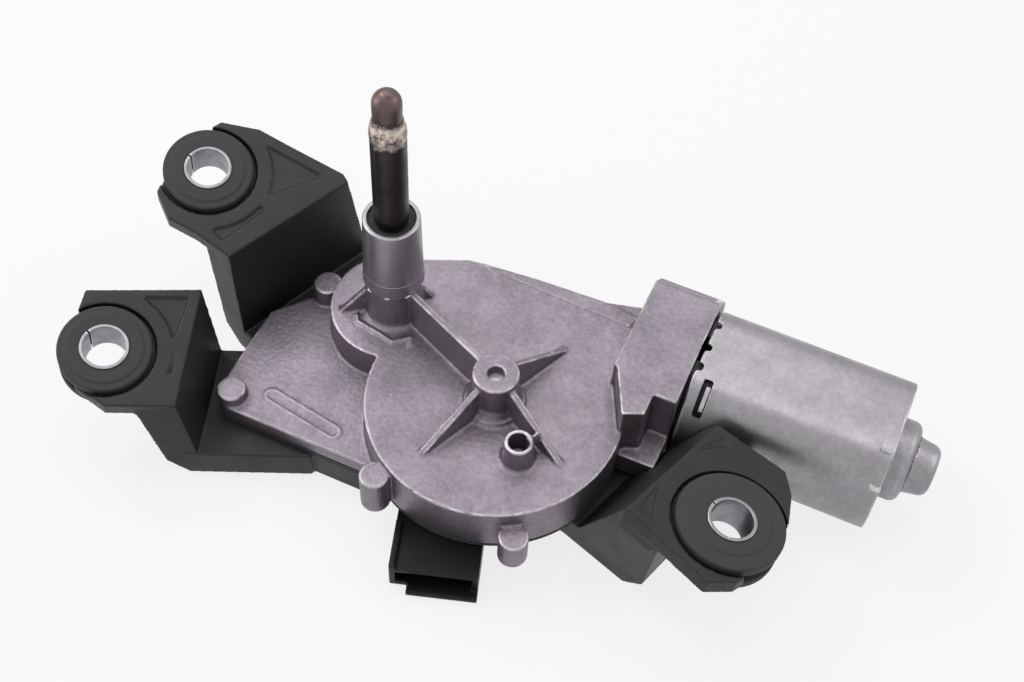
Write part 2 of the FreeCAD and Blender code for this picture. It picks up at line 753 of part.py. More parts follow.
# Worm wheel, crank pin, parking ring, axle and connecting rod
def wheel_pieces():
    pitch = worm_distance() - D.worm_pitch_radius
    count = int(D.wheel_teeth)
    outer = pitch + D.worm_depth / 2 - D.mesh_gap
    lead = math.degrees(math.atan(pitch / (D.worm_pitch_radius * count)))
    low, high = D.wheel_base, D.wheel_base + D.wheel_thick
    body = Part.makeCylinder(outer, D.wheel_thick, Vector(0, 0, low))
    gap_half = math.pi * pitch / count / 2 + D.worm_backlash / 4
    flank = D.worm_depth * math.tan(math.radians(18.0))
    profile = [Vector(outer + 0.5, -gap_half - flank, 0), Vector(outer + 0.5, gap_half + flank, 0),
               Vector(outer - D.worm_depth, gap_half - flank * 0.8, 0),
               Vector(outer - D.worm_depth, flank * 0.8 - gap_half, 0)]
    length = D.wheel_thick * 1.4
    slot = Part.Face(Part.makePolygon(profile + profile[:1])).extrude(Vector(0, 0, length))
    slot.translate(Vector(0, 0, -length / 2))
    slot.rotate(Vector(), Vector(1, 0, 0), -lead)
    slot.translate(Vector(0, 0, D.motor_z))
    slots = []
    for tooth in range(count):
        gap = slot.copy()
        gap.rotate(Vector(), Vector(0, 0, 1), 90.0 + 360.0 * tooth / count)
        slots.append(gap)
    body = body.cut(Part.makeCompound(slots))
    web_low = low + D.wheel_web
    groove = Part.makeCylinder(outer - D.worm_depth - D.wheel_rim, D.wheel_thick,
                               Vector(0, 0, web_low))
    groove = groove.cut(Part.makeCylinder(D.wheel_hub_radius, D.wheel_thick, Vector(0, 0, web_low)))
    body = body.cut(groove)
    body = body.cut(Part.makeCylinder(D.axle_radius + D.wheel_fit, D.wheel_thick, Vector(0, 0, low)))
    crank_x, crank_y = crank_centre()
    crank = Vector(crank_x - D.wheel_x, crank_y - D.wheel_y, low)
    body = body.cut(Part.makeCylinder(D.crank_pin_radius, D.wheel_web, crank))
    item = shaped("worm_wheel", body)
    item.Placement = Placement(Vector(D.wheel_x, D.wheel_y, 0), Rotation())
    node("worm_wheel", item)

    pin_low = rod_base() + D.rod_fit
    pin = Part.makeCylinder(D.crank_pin_radius, web_low - pin_low, Vector(crank_x, crank_y, pin_low))
    node("crank_pin", shaped("crank_pin", pin))

    outer_ring = Part.makeCylinder(D.parking_ring_radius, D.parking_ring_thick,
                                   Vector(D.wheel_x, D.wheel_y, web_low))
    inner_ring = Part.makeCylinder(D.parking_ring_radius - D.parking_ring_width,
                                   D.parking_ring_thick, Vector(D.wheel_x, D.wheel_y, web_low))
    node("parking_ring", shaped("parking_ring", outer_ring.cut(inner_ring)))
    node("wheel_axle", cylinder("wheel_axle", "axle_radius",
                                BOSS_TOP + " - boss_eye_depth - axle_base",
                                "wheel_x", "wheel_y", "axle_base"))

    tail_x, tail_y = tail_eye()
    base = rod_base()
    length = math.hypot(tail_x - crank_x, tail_y - crank_y)
    bar = Part.makeBox(length, D.rod_width, D.rod_thick, Vector(0, -D.rod_width / 2, 0))
    bar.rotate(Vector(), Vector(0, 0, 1),
               math.degrees(math.atan2(tail_y - crank_y, tail_x - crank_x)))
    bar.translate(Vector(crank_x, crank_y, base))
    crank_eye = Vector(crank_x, crank_y, base)
    far_eye = Vector(tail_x, tail_y, base)
    for spot in (crank_eye, far_eye):
        bar = bar.fuse(Part.makeCylinder(D.rod_eye_radius, D.rod_thick, spot))
    bar = bar.cut(Part.makeCylinder(D.crank_pin_radius + D.rod_fit, D.rod_thick, crank_eye))
    bar = bar.cut(Part.makeCylinder(D.tail_pin_radius + D.rod_fit, D.rod_thick, far_eye))
    node("connecting_rod", shaped("connecting_rod", bar.removeSplitter()))


def worm_distance():
    return D.motor_y - D.wheel_y


def along_motor(shape):
    """Turns a shape modelled about Z so that it lies along the motor's axis."""
    shape.Placement = Placement(Vector(0, D.motor_y, D.motor_z), Rotation(Vector(0, 1, 0), 90))
    return shape


def motor_round(radius, start, end):
    return Part.makeCylinder(radius, end - start, Vector(0, 0, start))


# Armature: shaft with its worm, laminated core, coils and commutator
def armature():
    pitch = 2 * math.pi * (worm_distance() - D.worm_pitch_radius) / D.wheel_teeth
    root = D.worm_pitch_radius - D.worm_depth / 2
    crest = D.worm_pitch_radius + D.worm_depth / 2
    length = D.worm_end - D.worm_start
    shaft = motor_round(D.arm_shaft_radius, D.tunnel_start - D.tail_bush_length + D.washer_gap,
                        D.can_end + D.nose_length + D.nose_tip_length * 0.5)
    shaft = shaft.fuse(motor_round(root, D.worm_start - 2.0, D.worm_end + 2.0))
    crest_half = pitch / 4 - D.worm_backlash / 2 - D.worm_depth * 0.16
    root_half = pitch / 4 - D.worm_backlash / 2 + D.worm_depth * 0.16
    helix = Part.makeHelix(pitch, length, root)
    section = [Vector(root - 0.3, 0, -root_half), Vector(crest, 0, -crest_half),
               Vector(crest, 0, crest_half), Vector(root - 0.3, 0, root_half)]
    profile = Part.makePolygon(section + section[:1])
    thread = Part.Wire(helix).makePipeShell([profile], True, True)
    # The wheel has a gap at its side nearest the worm, so a thread crest lies there
    middle = D.wheel_x - D.worm_start
    thread.rotate(Vector(), Vector(0, 0, 1), -90.0 - 360.0 * middle / pitch)
    thread.translate(Vector(0, 0, D.worm_start))
    shaft = shaft.fuse(thread)
    node("armature_shaft", shaped("armature_shaft", along_motor(shaft)))

    count = int(D.core_slots)
    core = motor_round(D.core_radius, D.core_start, D.core_end)
    depth = D.core_radius - D.slot_lip - D.core_hub_radius
    coils = motor_round(D.coil_radius, D.core_start - D.coil_overhang, D.core_start)
    coils = coils.fuse(motor_round(D.coil_radius, D.core_end, D.core_end + D.coil_overhang))
    slots = []
    for step in range(count):
        room = Part.makeBox(depth, D.slot_width, D.core_end - D.core_start,
                            Vector(D.core_hub_radius, -D.slot_width / 2, D.core_start))
        mouth = Part.makeBox(D.core_radius, D.slot_mouth, D.core_end - D.core_start,
                             Vector(D.core_hub_radius, -D.slot_mouth / 2, D.core_start))
        for shape in (room, mouth):
            shape.rotate(Vector(), Vector(0, 0, 1), 360.0 * step / count)
        slots.append(room.fuse(mouth))
        coils = coils.fuse(room)
    bore = motor_round(D.arm_shaft_radius, D.core_start, D.core_end)
    core = core.cut(bore).cut(Part.makeCompound(slots))
    node("armature_core", shaped("armature_core", along_motor(core)))
    middle_bore = motor_round(D.core_hub_radius, D.core_start - D.coil_overhang,
                              D.core_end + D.coil_overhang)
    coils = coils.cut(middle_bore).removeSplitter()
    node("armature_coils", shaped("armature_coils", along_motor(coils)))

    start = D.commutator_start
    drum = motor_round(D.commutator_radius, start, start + D.commutator_length)
    rim_start = start + D.commutator_length
    rim_end = rim_start + D.commutator_rim_length
    drum = drum.fuse(motor_round(D.commutator_radius + D.commutator_rim, rim_start, rim_end))
    drum = drum.cut(motor_round(D.arm_shaft_radius, start, rim_end))
    for step in range(count):
        slit = Part.makeBox(D.commutator_radius, D.commutator_slit, D.commutator_length,
                            Vector(D.commutator_radius - D.commutator_slit_depth,
                                   -D.commutator_slit / 2, start))
        slit.rotate(Vector(), Vector(0, 0, 1), 360.0 * (step + 0.5) / count)
        drum = drum.cut(slit)
    node("commutator", shaped("commutator", along_motor(drum)))


def around_can(start, length, width, depth, angle):
    """A block across the can's wall; the angle is taken from +Y towards +Z."""
    block = Part.makeBox(length, width, depth, Vector(start, -width / 2, D.can_radius - depth / 2))
    block.Placement = Placement(Vector(0, D.motor_y, D.motor_z),
                                Rotation(Vector(1, 0, 0), angle - 90.0))
    return block


# Motor can, magnets and bearings
def motor_can():
    motor = ("motor_y", "motor_z")
    outer = common("can_drum", cylinder("can_round", "can_radius", "can_end - can_start",
                                        "can_start", *motor, "X"),
                   box("can_flats", "can_end - can_start", "2 * can_radius", "2 * can_half_height",
                       "can_start", "motor_y - can_radius", "motor_z - can_half_height"))
    nose = cylinder("can_nose", "nose_radius", "nose_length", "can_end", *motor, "X")
    tip = cylinder("can_nose_tip", "nose_tip_radius", "nose_tip_length - nose_round",
                   "can_end + nose_length", *motor, "X")
    dome = cone("can_nose_end", "nose_tip_radius", "nose_tip_radius - nose_round", "nose_round",
                "can_end + nose_length + nose_tip_length - nose_round", *motor, "X")
    inside = common("can_hollow", cylinder(
        "can_hollow_round", "can_radius - can_wall", "can_end - can_start - can_wall",
        "can_start", *motor, "X"),
        box("can_hollow_flats", "can_end - can_start - can_wall", "2 * can_radius",
            "2 * (can_half_height - can_wall)", "can_start", "motor_y - can_radius",
            "motor_z - can_half_height + can_wall"))
    nose_room = cylinder("nose_room", "rear_bush_radius", "can_wall + nose_length + nose_tip_length * 0.6",
                         "can_end - can_wall", *motor, "X")
    shell = fuse("can_shell", [outer, nose, tip, dome])
    hollow = fuse("can_rooms", [inside, nose_room])
    openings = [shaped("can_slot", around_can(D.can_slot_start, D.can_slot_width, D.can_slot_length,
                                              4 * D.can_wall, D.can_slot_angle))]
    for step, angle in enumerate((66.0, 91.0, 112.0)):
        openings.append(shaped("can_notch_%d" % step, around_can(
            D.can_start, D.can_notch, D.can_notch_width, 6 * D.can_wall, angle)))
    node("motor_can", cut("motor_can", shell, fuse("can_openings", [hollow] + openings)))
    clip = around_can(D.can_slot_start + D.can_slot_width * 0.5, D.can_slot_width * 0.4,
                      D.can_slot_length - 2 * D.can_wall, 2 * D.can_wall, D.can_slot_angle)
    shell_round = along_motor(motor_round(D.can_radius, D.can_start, D.can_end))
    node("can_clip", shaped("can_clip", clip.common(shell_round)))
    node("rear_bush", ring("rear_bush", "rear_bush_radius", "arm_shaft_radius + shaft_fit",
                           "rear_bush_length", "can_end - can_wall", *motor, "X"))
    node("tail_bush", ring("tail_bush", "tail_bush_radius", "arm_shaft_radius + shaft_fit",
                           "tail_bush_length", "tunnel_start - tail_bush_length", *motor, "X"))
    bearing = ring("bearing_body", "bearing_radius", "arm_shaft_radius + shaft_fit",
                   "bearing_thick", "head_start", *motor, "X")
    groove = ring("bearing_track", "(bearing_radius + arm_shaft_radius) / 2 + bearing_groove",
                  "(bearing_radius + arm_shaft_radius) / 2 - bearing_groove", "bearing_groove",
                  "head_start + bearing_thick - bearing_groove", *motor, "X")
    node("front_bearing", cut("front_bearing", bearing, groove))
    for name, side in (("left_magnet", -1), ("right_magnet", 1)):
        tube = ring(name + "_tube", "can_radius - can_wall", "magnet_inner",
                    "magnet_end - magnet_start", "magnet_start", *motor, "X")
        edge = "motor_y" if side > 0 else "motor_y - can_radius"
        slab = box(name + "_slab", "magnet_end - magnet_start", "can_radius",
                   "2 * magnet_half_height", "magnet_start", edge, "motor_z - magnet_half_height")
        node(name, common(name, tube, slab))


# Brush card with its two boxes, and the brushes
def brush_gear():
    motor = ("motor_y", "motor_z")
    card = ring("card_disc", "brush_room_radius", "card_bore", "card_thick", "card_start", *motor, "X")
    boxes = [card]
    brushes = []
    for name, side in (("left", -1), ("right", 1)):
        base = D.commutator_radius + D.brush_gap
        low = D.motor_y + (base if side > 0 else -base - D.brush_length)
        wide = D.brush_height / 2
        brush = Part.makeBox(D.brush_width, D.brush_length, D.brush_height,
                             Vector(D.commutator_start + 1.0, low, D.motor_z - wide))
        brushes.append(brush)
        wall = D.brush_box_wall
        holder_start = D.card_start + D.card_thick
        holder_y = D.motor_y + (base + 2.5 if side > 0 else -base - D.brush_length)
        holder = Part.makeBox(D.commutator_start + 1.0 + D.brush_width + wall - holder_start,
                              D.brush_length - 2.5, D.brush_height + 2 * wall,
                              Vector(holder_start, holder_y, D.motor_z - wide - wall))
        room = Part.makeBox(D.brush_width, D.brush_length + 2, D.brush_height,
                            Vector(D.commutator_start + 1.0, low - 1, D.motor_z - wide))
        boxes.append(shaped(name + "_brush_box", holder.cut(room)))
    node("brush_card", fuse("brush_card", boxes))
    node("brushes", shaped("brushes", Part.makeCompound(brushes)))


class Pad:
    """One tilted bracket pad: where its bush sits, which way it faces and its outline.

    The outline, pockets and foot are distances u outward and v to the side from the bush.
    """

    def __init__(self, name, turn, slopes, outline, pockets, foot, radius):
        self.name = name
        self.turn = turn
        self.outline = outline
        self.pockets = pockets
        self.foot = foot
        self.radius = radius
        up = Vector(slopes[0], slopes[1], 1.0)
        up.normalize()
        outward = Vector(math.cos(math.radians(turn)), math.sin(math.radians(turn)), 0)
        self.level_out = outward
        self.level_side = Vector(-outward.y, outward.x, 0)
        side = up.cross(outward)
        side.normalize()
        outward = side.cross(up)
        bush_top = Vector(getattr(D, name + "_x"), getattr(D, name + "_y"), getattr(D, name + "_z"))
        self.foot_centre = Vector(bush_top.x, bush_top.y, 0)
        self.up = up
        self.placement = Placement(bush_top - up * D.grommet_proud,
                                   Rotation(outward, side, up, "ZXY"))

    def put(self, shape):
        shape.Placement = self.placement
        return shape

    def point(self, u, v, w):
        return self.placement.multVec(Vector(u, v, w))

    def ground(self, u, v, z):
        return self.foot_centre + self.level_out * u + self.level_side * v + Vector(0, 0, z)


# Each foot holds the inner and outer reach of the wall's base, its two sides and the flare of
# its inner face at the first side. The grommet's rim rounds the near side of each pocket
PADS = [
    Pad("left", D.left_arm_turn, (0.20, -0.12),
        [(-24.5, -20.8), (7.4, -17.7), (8.8, -10.5), (12.2, 2.0), (6.5, 11.3), (-1.8, 16.8),
         (-20.7, 15.6)],
        [[(-9.0, -17.0), (-21.2, -17.9), (-18.2, -4.6)],
         [(-19.4, -2.6), (-18.8, 5.2), (-13.8, 12.4)]],
        (-24.0, -14.2, -20.8, 15.8, 2.6), D.grommet_radius),
    Pad("upper", D.upper_arm_turn, (0.20, -0.19),
        [(-28.6, -28.8), (-25.8, -29.4), (1.1, -20.0), (9.9, -13.1), (11.8, 2.0), (4.0, 15.5),
         (-4.5, 18.4), (-13.0, 15.4), (-24.8, 13.0)],
        [[(-4.4, -18.2), (-22.4, -24.4), (-16.8, -7.6)],
         [(-18.4, -4.2), (-20.2, -4.2), (-19.4, 11.4), (-15.4, 11.2)]],
        (-25.5, -15.5, -37.0, 12.6, 0.0), D.grommet_radius),
    Pad("right", D.right_arm_turn, (0.11, 0.12),
        [(-21.5, -17.6), (-0.9, -18.6), (6.8, -18.9), (12.1, -12.9), (15.0, 0.0), (12.2, 10.1),
         (6.3, 20.1), (0.5, 25.2), (-21.5, 23.0)],
        [[(-20.4, 11.5), (-18.2, 20.9), (-15.0, 19.6)],
         [(-19.5, -15.6), (-20.9, -3.0), (-13.6, -14.6)]],
        (-38.0, -13.0, -16.2, 23.0, 0.0), D.right_grommet_radius),
]


def edge_at(outline, u, pick):
    """The side of an outline at one reach: pick is min or max."""
    sides = []
    for (u0, v0), (u1, v1) in zip(outline, outline[1:] + outline[:1]):
        if u0 != u1 and min(u0, u1) <= u <= max(u0, u1):
            sides.append(v0 + (v1 - v0) * (u - u0) / (u1 - u0))
    return pick(sides)


def hull_between(lower, upper):
    """A closed solid between two four-cornered faces."""
    wires = [Part.makePolygon(points + points[:1]) for points in (lower, upper)]
    return Part.makeLoft(wires, True, True)


def arm_pieces(pad):
    """Pad plate, wall with its gusset, and the foot strip of one arm."""
    plate = pad.put(prism(pad.outline, -D.pad_thick, 0.0))
    (u_first, v_first), (u_last, v_last) = pad.outline[0], pad.outline[-1]
    inner, outer, v_low, v_high, flare = pad.foot

    def top(reach, drop):
        v_near = max(v_first, edge_at(pad.outline, u_first + reach, min))
        v_far = min(v_last, edge_at(pad.outline, u_last + reach, max))
        return [pad.point(u_first, v_first, drop), pad.point(u_first + reach, v_near, drop),
                pad.point(u_last + reach, v_far, drop), pad.point(u_last, v_last, drop)]

    flared = inner - flare
    base = [pad.ground(flared, v_low, 0), pad.ground(outer - D.foot_round, v_low, 0),
            pad.ground(outer - D.foot_round, v_high, 0), pad.ground(inner, v_high, 0)]
    heel = [pad.ground(flared, v_low, D.foot_round), pad.ground(outer, v_low, D.foot_round),
            pad.ground(outer, v_high, D.foot_round), pad.ground(inner, v_high, D.foot_round)]
    under = -D.pad_thick / 2
    wall = hull_between(base, heel)
    wall = wall.fuse(hull_between(heel, top(D.arm_wall, 0)))
    gusset = hull_between(top(D.arm_wall - D.gusset_sink, under - D.gusset_drop),
                          top(D.arm_wall + D.gusset_reach, under))
    reach_in = inner - D.foot_reach
    corners = [pad.ground(reach_in, v_low, 0), pad.ground(outer - D.foot_round, v_low, 0),
               pad.ground(outer - D.foot_round, v_high, 0), pad.ground(reach_in, v_high, 0)]
    strip = Part.Face(Part.makePolygon(corners + corners[:1])).extrude(
        Vector(0, 0, D.bracket_thick))
    return [strip, wall, gusset, plate]


def tray_block(margin, low, high):
    """The tray under the casting, drawn in by a margin; its round end tapers downwards."""
    full = D.bracket_thick
    widest = D.dome_radius - margin
    centre = Vector(D.wheel_x, D.wheel_y, low)
    if low < full:
        narrowest = widest - D.tray_taper * (full - low) / full
        block = Part.makeCone(narrowest, widest, high - low, centre)
    else:
        block = Part.makeCylinder(widest, high - low, centre)
    block = block.fuse(prism(flange_outline(margin), low, high))
    return block.fuse(Part.makeCylinder(D.sector_dome_radius - margin, high - low, Vector(0, 0, low)))


# Mounting bracket: one moulding with a tray under the gearbox and three arms
def mounting_bracket():
    full = D.bracket_thick
    body = tray_block(0.0, 0.0, full)
    for pad in PADS:
        for piece in arm_pieces(pad):
            body = body.fuse(piece)
    body = body.cut(tray_block(D.side_wall, D.tray_floor, full))
    # Nothing of the arms stands where the casting goes in from above
    clear = D.upper_z
    gap = D.casting_gap
    cavity_top = Part.makeCylinder(D.dome_radius + gap, clear, Vector(D.wheel_x, D.wheel_y, full))
    body = body.cut(cavity_top.fuse(prism(flange_outline(-gap), full, full + clear)))
    body = body.cut(along_motor(motor_round(D.can_radius + D.can_clearance, D.head_start, D.can_end)))
    body = body.cut(head_shape(D.can_clearance, D.head_start - gap, D.head_end + gap))
    ledge = Part.makeBox(D.head_end - D.ledge_start + 2 * gap, D.motor_y - D.ledge_front, clear,
                         Vector(D.ledge_start - gap, D.ledge_front - D.can_clearance, full))
    body = body.cut(ledge)
    lobe = prism([(x, y - D.can_clearance) for x, y in lobe_outline()], full, full + clear)
    body = body.cut(lobe)
    for spot in SCREW_SPOTS:
        foot = Vector(*spot_xy(spot), 0)
        body = body.fuse(Part.makeCylinder(D.column_radius, full, foot))
        body = body.cut(Part.makeCylinder(D.screw_radius + D.screw_gap, full, foot))
        body = body.cut(Part.makeCylinder(D.screw_head_radius + D.screw_gap,
                                          D.screw_sunk + D.screw_head_height, foot))
    pin_x, pin_y = sector_centre()
    seat_top = D.pinion_base - D.link_gap
    body = body.fuse(Part.makeCylinder(D.sector_seat_radius, seat_top - D.sector_pin_root,
                                       Vector(pin_x, pin_y, D.sector_pin_root)))
    body = body.cut(Part.makeCylinder(D.sector_pin_radius, seat_top,
                                      Vector(pin_x, pin_y, D.sector_pin_root)))
    for pad in PADS:
        wide = pad.radius + D.seat_gap
        deep = 3 * D.pad_thick
        low = Vector(0, 0, -2 * D.pad_thick)
        slot = Part.makeCylinder(D.slot_radius, deep, low)
        slot = slot.fuse(Part.makeBox(2 * pad.radius, 2 * D.slot_radius, deep,
                                      low - Vector(0, D.slot_radius, 0)))
        seat = Part.makeCylinder(wide, 2 * D.seat_depth, Vector(0, 0, -D.seat_depth))
        under = Part.makeCylinder(wide, 2 * D.grommet_under,
                                  Vector(0, 0, -D.pad_thick - 2 * D.grommet_under))
        rim = Part.makeCylinder(pad.radius + D.pocket_rim, deep, low)
        pockets = [prism(corners, -D.pocket_depth, D.pocket_depth).cut(rim) for corners in pad.pockets]
        for shape in [slot, seat, under] + pockets:
            body = body.cut(pad.put(shape))
    node("mounting_bracket", shaped("mounting_bracket", body.removeSplitter()))


# Rubber grommets and their split spacer sleeves
def mount_pieces():
    for pad in PADS:
        low = -D.pad_thick - D.grommet_under
        high = D.grommet_proud
        rubber = Part.makeCylinder(pad.radius, high + D.seat_depth, Vector(0, 0, -D.seat_depth))
        rubber = rubber.fuse(Part.makeCylinder(D.slot_radius, D.pad_thick - D.seat_depth,
                                               Vector(0, 0, -D.pad_thick)))
        rubber = rubber.fuse(Part.makeCylinder(pad.radius, D.grommet_under, Vector(0, 0, low)))
        rubber = rubber.cut(Part.makeCylinder(D.spacer_radius, high - low, Vector(0, 0, low)))
        node("grommet_" + pad.name, shaped("grommet_" + pad.name, pad.put(rubber.removeSplitter())))
        low -= D.spacer_proud
        tall = high + D.spacer_proud - low
        sleeve = Part.makeCylinder(D.spacer_radius, tall, Vector(0, 0, low))
        sleeve = sleeve.cut(Part.makeCylinder(D.spacer_bore, tall, Vector(0, 0, low)))
        split = Part.makeBox(D.spacer_radius + 1.0, D.spacer_split, tall,
                             Vector(-D.spacer_radius - 1.0, -D.spacer_split / 2, low))
        node("spacer_" + pad.name, shaped("spacer_" + pad.name, pad.put(sleeve.cut(split))))


# Gasket between the casting and the bracket
def cover_gasket():
    low, high = D.bracket_thick, parting
    shape = tray_block(0.0, low, high)
    shape = shape.cut(tray_block(D.side_wall, low, high))
    shape = shape.cut(head_shape(D.screw_gap, D.head_start, D.head_end))
    for spot in SCREW_SPOTS:
        foot = Vector(*spot_xy(spot), low)
        shape = shape.fuse(Part.makeCylinder(D.column_radius, high - low, foot))
        shape = shape.cut(Part.makeCylinder(D.screw_radius + D.screw_gap, high - low, foot))
    node("cover_gasket", shaped("cover_gasket", shape.removeSplitter()))


# Screws that hold the bracket under the casting, one group
def housing_screws():
    screws = []
    base = D.screw_sunk + D.screw_head_height
    for spot in SCREW_SPOTS:
        x, y = spot_xy(spot)
        head = Part.makeCylinder(D.screw_head_radius, D.screw_head_height, Vector(x, y, D.screw_sunk))
        drive = Part.makeCylinder(D.screw_radius * 0.8, D.screw_head_height * 0.5,
                                  Vector(x, y, D.screw_sunk))
        shank = Part.makeCylinder(D.screw_radius, parting + D.screw_reach - base, Vector(x, y, base))
        screws.append(head.cut(drive).fuse(shank))
    node("housing_screws", shaped("housing_screws", Part.makeCompound(screws)))


def plug_frame(shape):
    """Turns a shape modelled along X so that it stands out from under the dome's rim."""
    origin = Vector(D.wheel_x - D.plug_shift, D.wheel_y - D.dome_radius + D.plug_inset, 0)
    shape.Placement = Placement(origin, Rotation(Vector(0, 0, 1), D.plug_turn))
    return shape


# Connector shell with its terminal pins
def connector():
    half = D.plug_width / 2
    height = D.plug_top - D.plug_base
    wall = D.plug_wall
    shell = Part.makeBox(D.plug_length - D.plug_start, D.plug_width, height,
                         Vector(D.plug_start, -half, D.plug_base))
    lip_width = D.plug_width * D.plug_lip_share
    lip = Part.makeBox(D.plug_lip, lip_width, wall, Vector(D.plug_length, half - lip_width, D.plug_base))
    rib = Part.makeBox(D.plug_length, wall, D.plug_rib_height, Vector(0, -half, D.plug_top))
    socket = Part.makeBox(D.plug_socket_depth, D.plug_width - 2 * wall, height - 2 * wall,
                          Vector(D.plug_length - D.plug_socket_depth, wall - half,
                                 D.plug_base + wall))
    body = plug_frame(shell.fuse(lip).fuse(rib).cut(socket))
    body = body.cut(tray_block(0.0, 0.0, D.bracket_thick))
    above = D.dome_height
    body = body.cut(Part.makeCylinder(D.dome_radius, above, Vector(D.wheel_x, D.wheel_y, D.bracket_thick)))
    for spot in ("front", "right"):
        body = body.cut(Part.makeCylinder(D.column_radius, above, Vector(*spot_xy(spot), D.bracket_thick)))
    count = int(D.pin_count)
    middle = (D.plug_base + D.plug_top - D.pin_thick) / 2
    start = D.plug_length - D.plug_socket_depth - D.pin_root
    blades = []
    for step in range(count):
        v = (step - (count - 1) / 2) * D.pin_pitch
        blade = Part.makeBox(D.pin_reach + D.pin_root, D.pin_width, D.pin_thick,
                             Vector(start, v - D.pin_width / 2, middle))
        blades.append(plug_frame(blade))
    pins = Part.makeCompound(blades)
    solids = sorted(body.cut(pins).Solids, key=lambda solid: solid.Volume)
    node("connector_shell", shaped("connector_shell", solids[-1]))
    node("terminal_pins", shaped("terminal_pins", pins))


# Control board in the tray with its posts, relay and choke
def control_board():
    base = D.tray_floor + D.board_post
    top = base + D.board_thick
    node("control_board", box("control_board", "board_width", "board_length", "board_thick",
                              "board_x", "board_y", "tray_floor + board_post"))
    posts = []
    inset = D.post_inset
    for x in (D.board_x + inset, D.board_x + D.board_width - inset):
        for y in (D.board_y + inset, D.board_y + D.board_length - inset):
            posts.append(Part.makeCylinder(D.post_radius, D.board_post, Vector(x, y, D.tray_floor)))
    node("board_posts", shaped("board_posts", Part.makeCompound(posts)))
    node("relay", box("relay", "relay_width", "relay_length", "relay_height",
                      "board_x + 1.2", "board_y + 2", "tray_floor + board_post + board_thick"))
    choke = Part.makeCylinder(D.choke_radius, D.choke_length,
                              Vector(D.board_x + D.board_width / 2, D.board_y + D.relay_length + 3.0,
                                     top + D.choke_radius), Vector(0, 1, 0))
    node("choke", shaped("choke", choke))


for make in (gear_housing, pivot_pieces, output_shaft, output_gears, wheel_pieces, armature,
             motor_can, brush_gear, mounting_bracket, mount_pieces, cover_gasket, housing_screws,
             connector, control_board):
    make()

doc.recompute()
for item in doc.Objects:
    if "Invalid" in item.State or "Error" in item.State:
        raise RuntimeError("%s did not recompute: %s" % (item.Name, item.State))
os.makedirs("parts", exist_ok=True)
for name, item in NODES.items():
    shape = item.Shape
    if shape.isNull() or not shape.isValid() or shape.Volume <= 0.0:
        raise RuntimeError("%s has no valid solid" % name)
    shape.exportStep("parts/%s.step" % name)
    bounds = shape.BoundBox
    print("%-18s solids %d volume %9.1f  x %7.1f %7.1f  y %7.1f %7.1f  z %6.1f %6.1f" % (
        name, len(shape.Solids), shape.Volume, bounds.XMin, bounds.XMax, bounds.YMin, bounds.YMax,
        bounds.ZMin, bounds.ZMax))
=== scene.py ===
"""Looks of the rear window wiper motor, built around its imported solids.

Sizes are in millimetres in the classes below and become metres where a mesh is made.
"""

import logging
import math
from dataclasses import dataclass, field
from enum import Enum

import bmesh
import bpy
import numpy as np
from mathutils import Matrix, Vector


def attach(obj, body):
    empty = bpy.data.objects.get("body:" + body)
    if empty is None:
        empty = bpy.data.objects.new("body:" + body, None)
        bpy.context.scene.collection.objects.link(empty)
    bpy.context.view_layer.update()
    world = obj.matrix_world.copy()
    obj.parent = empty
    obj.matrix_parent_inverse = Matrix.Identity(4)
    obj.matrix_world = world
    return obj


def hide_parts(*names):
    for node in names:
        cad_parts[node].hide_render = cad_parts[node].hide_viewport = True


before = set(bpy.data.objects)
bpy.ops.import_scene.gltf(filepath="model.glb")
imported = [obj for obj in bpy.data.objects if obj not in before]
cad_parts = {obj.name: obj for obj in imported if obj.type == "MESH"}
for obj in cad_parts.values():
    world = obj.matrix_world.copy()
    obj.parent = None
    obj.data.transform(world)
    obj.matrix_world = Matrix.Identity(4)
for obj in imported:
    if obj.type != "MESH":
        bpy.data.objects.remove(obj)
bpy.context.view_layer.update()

MM = 0.001
LOG = logging.getLogger("wiper_motor")
Colour = tuple[float, float, float]
Profile = list[tuple[float, float]]


class Slot(str, Enum):
    """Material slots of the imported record."""

    CAST = "cast_alloy"
    MACHINED = "machined_alloy"
    SPACER = "spacer_alloy"
    BRONZE = "bronze"
    BRIGHT = "bright_steel"
    DARK = "dark_steel"
    GEAR = "gear_steel"
    LAMINATED = "laminated_steel"
    ZINC = "zinc_steel"
    SCREW = "screw_steel"
    COPPER = "copper"
    BRASS = "brass"
    MAGNET = "magnet"
    CARBON = "carbon"
    GEAR_PLASTIC = "gear_plastic"
    CARD = "card_plastic"
    BLACK = "black_plastic"
    RELAY = "relay_plastic"
    BOARD = "board_laminate"
    RUBBER = "mount_rubber"
    SEAL = "seal_rubber"
    GASKET = "gasket_rubber"


class Body(str, Enum):
    """Bodies that the pieces ride on."""

    CASING = "casing"
    OUTPUT = "output"


class Effect(str, Enum):
    """Shader node groups that several materials share."""

    MOTTLE = "cloudy_mottle"
    EDGES = "edge_wear_highlight_and_crease_shade"
    SPECKS = "sparse_specks"
    BAND = "height_band"


# ---- node helpers


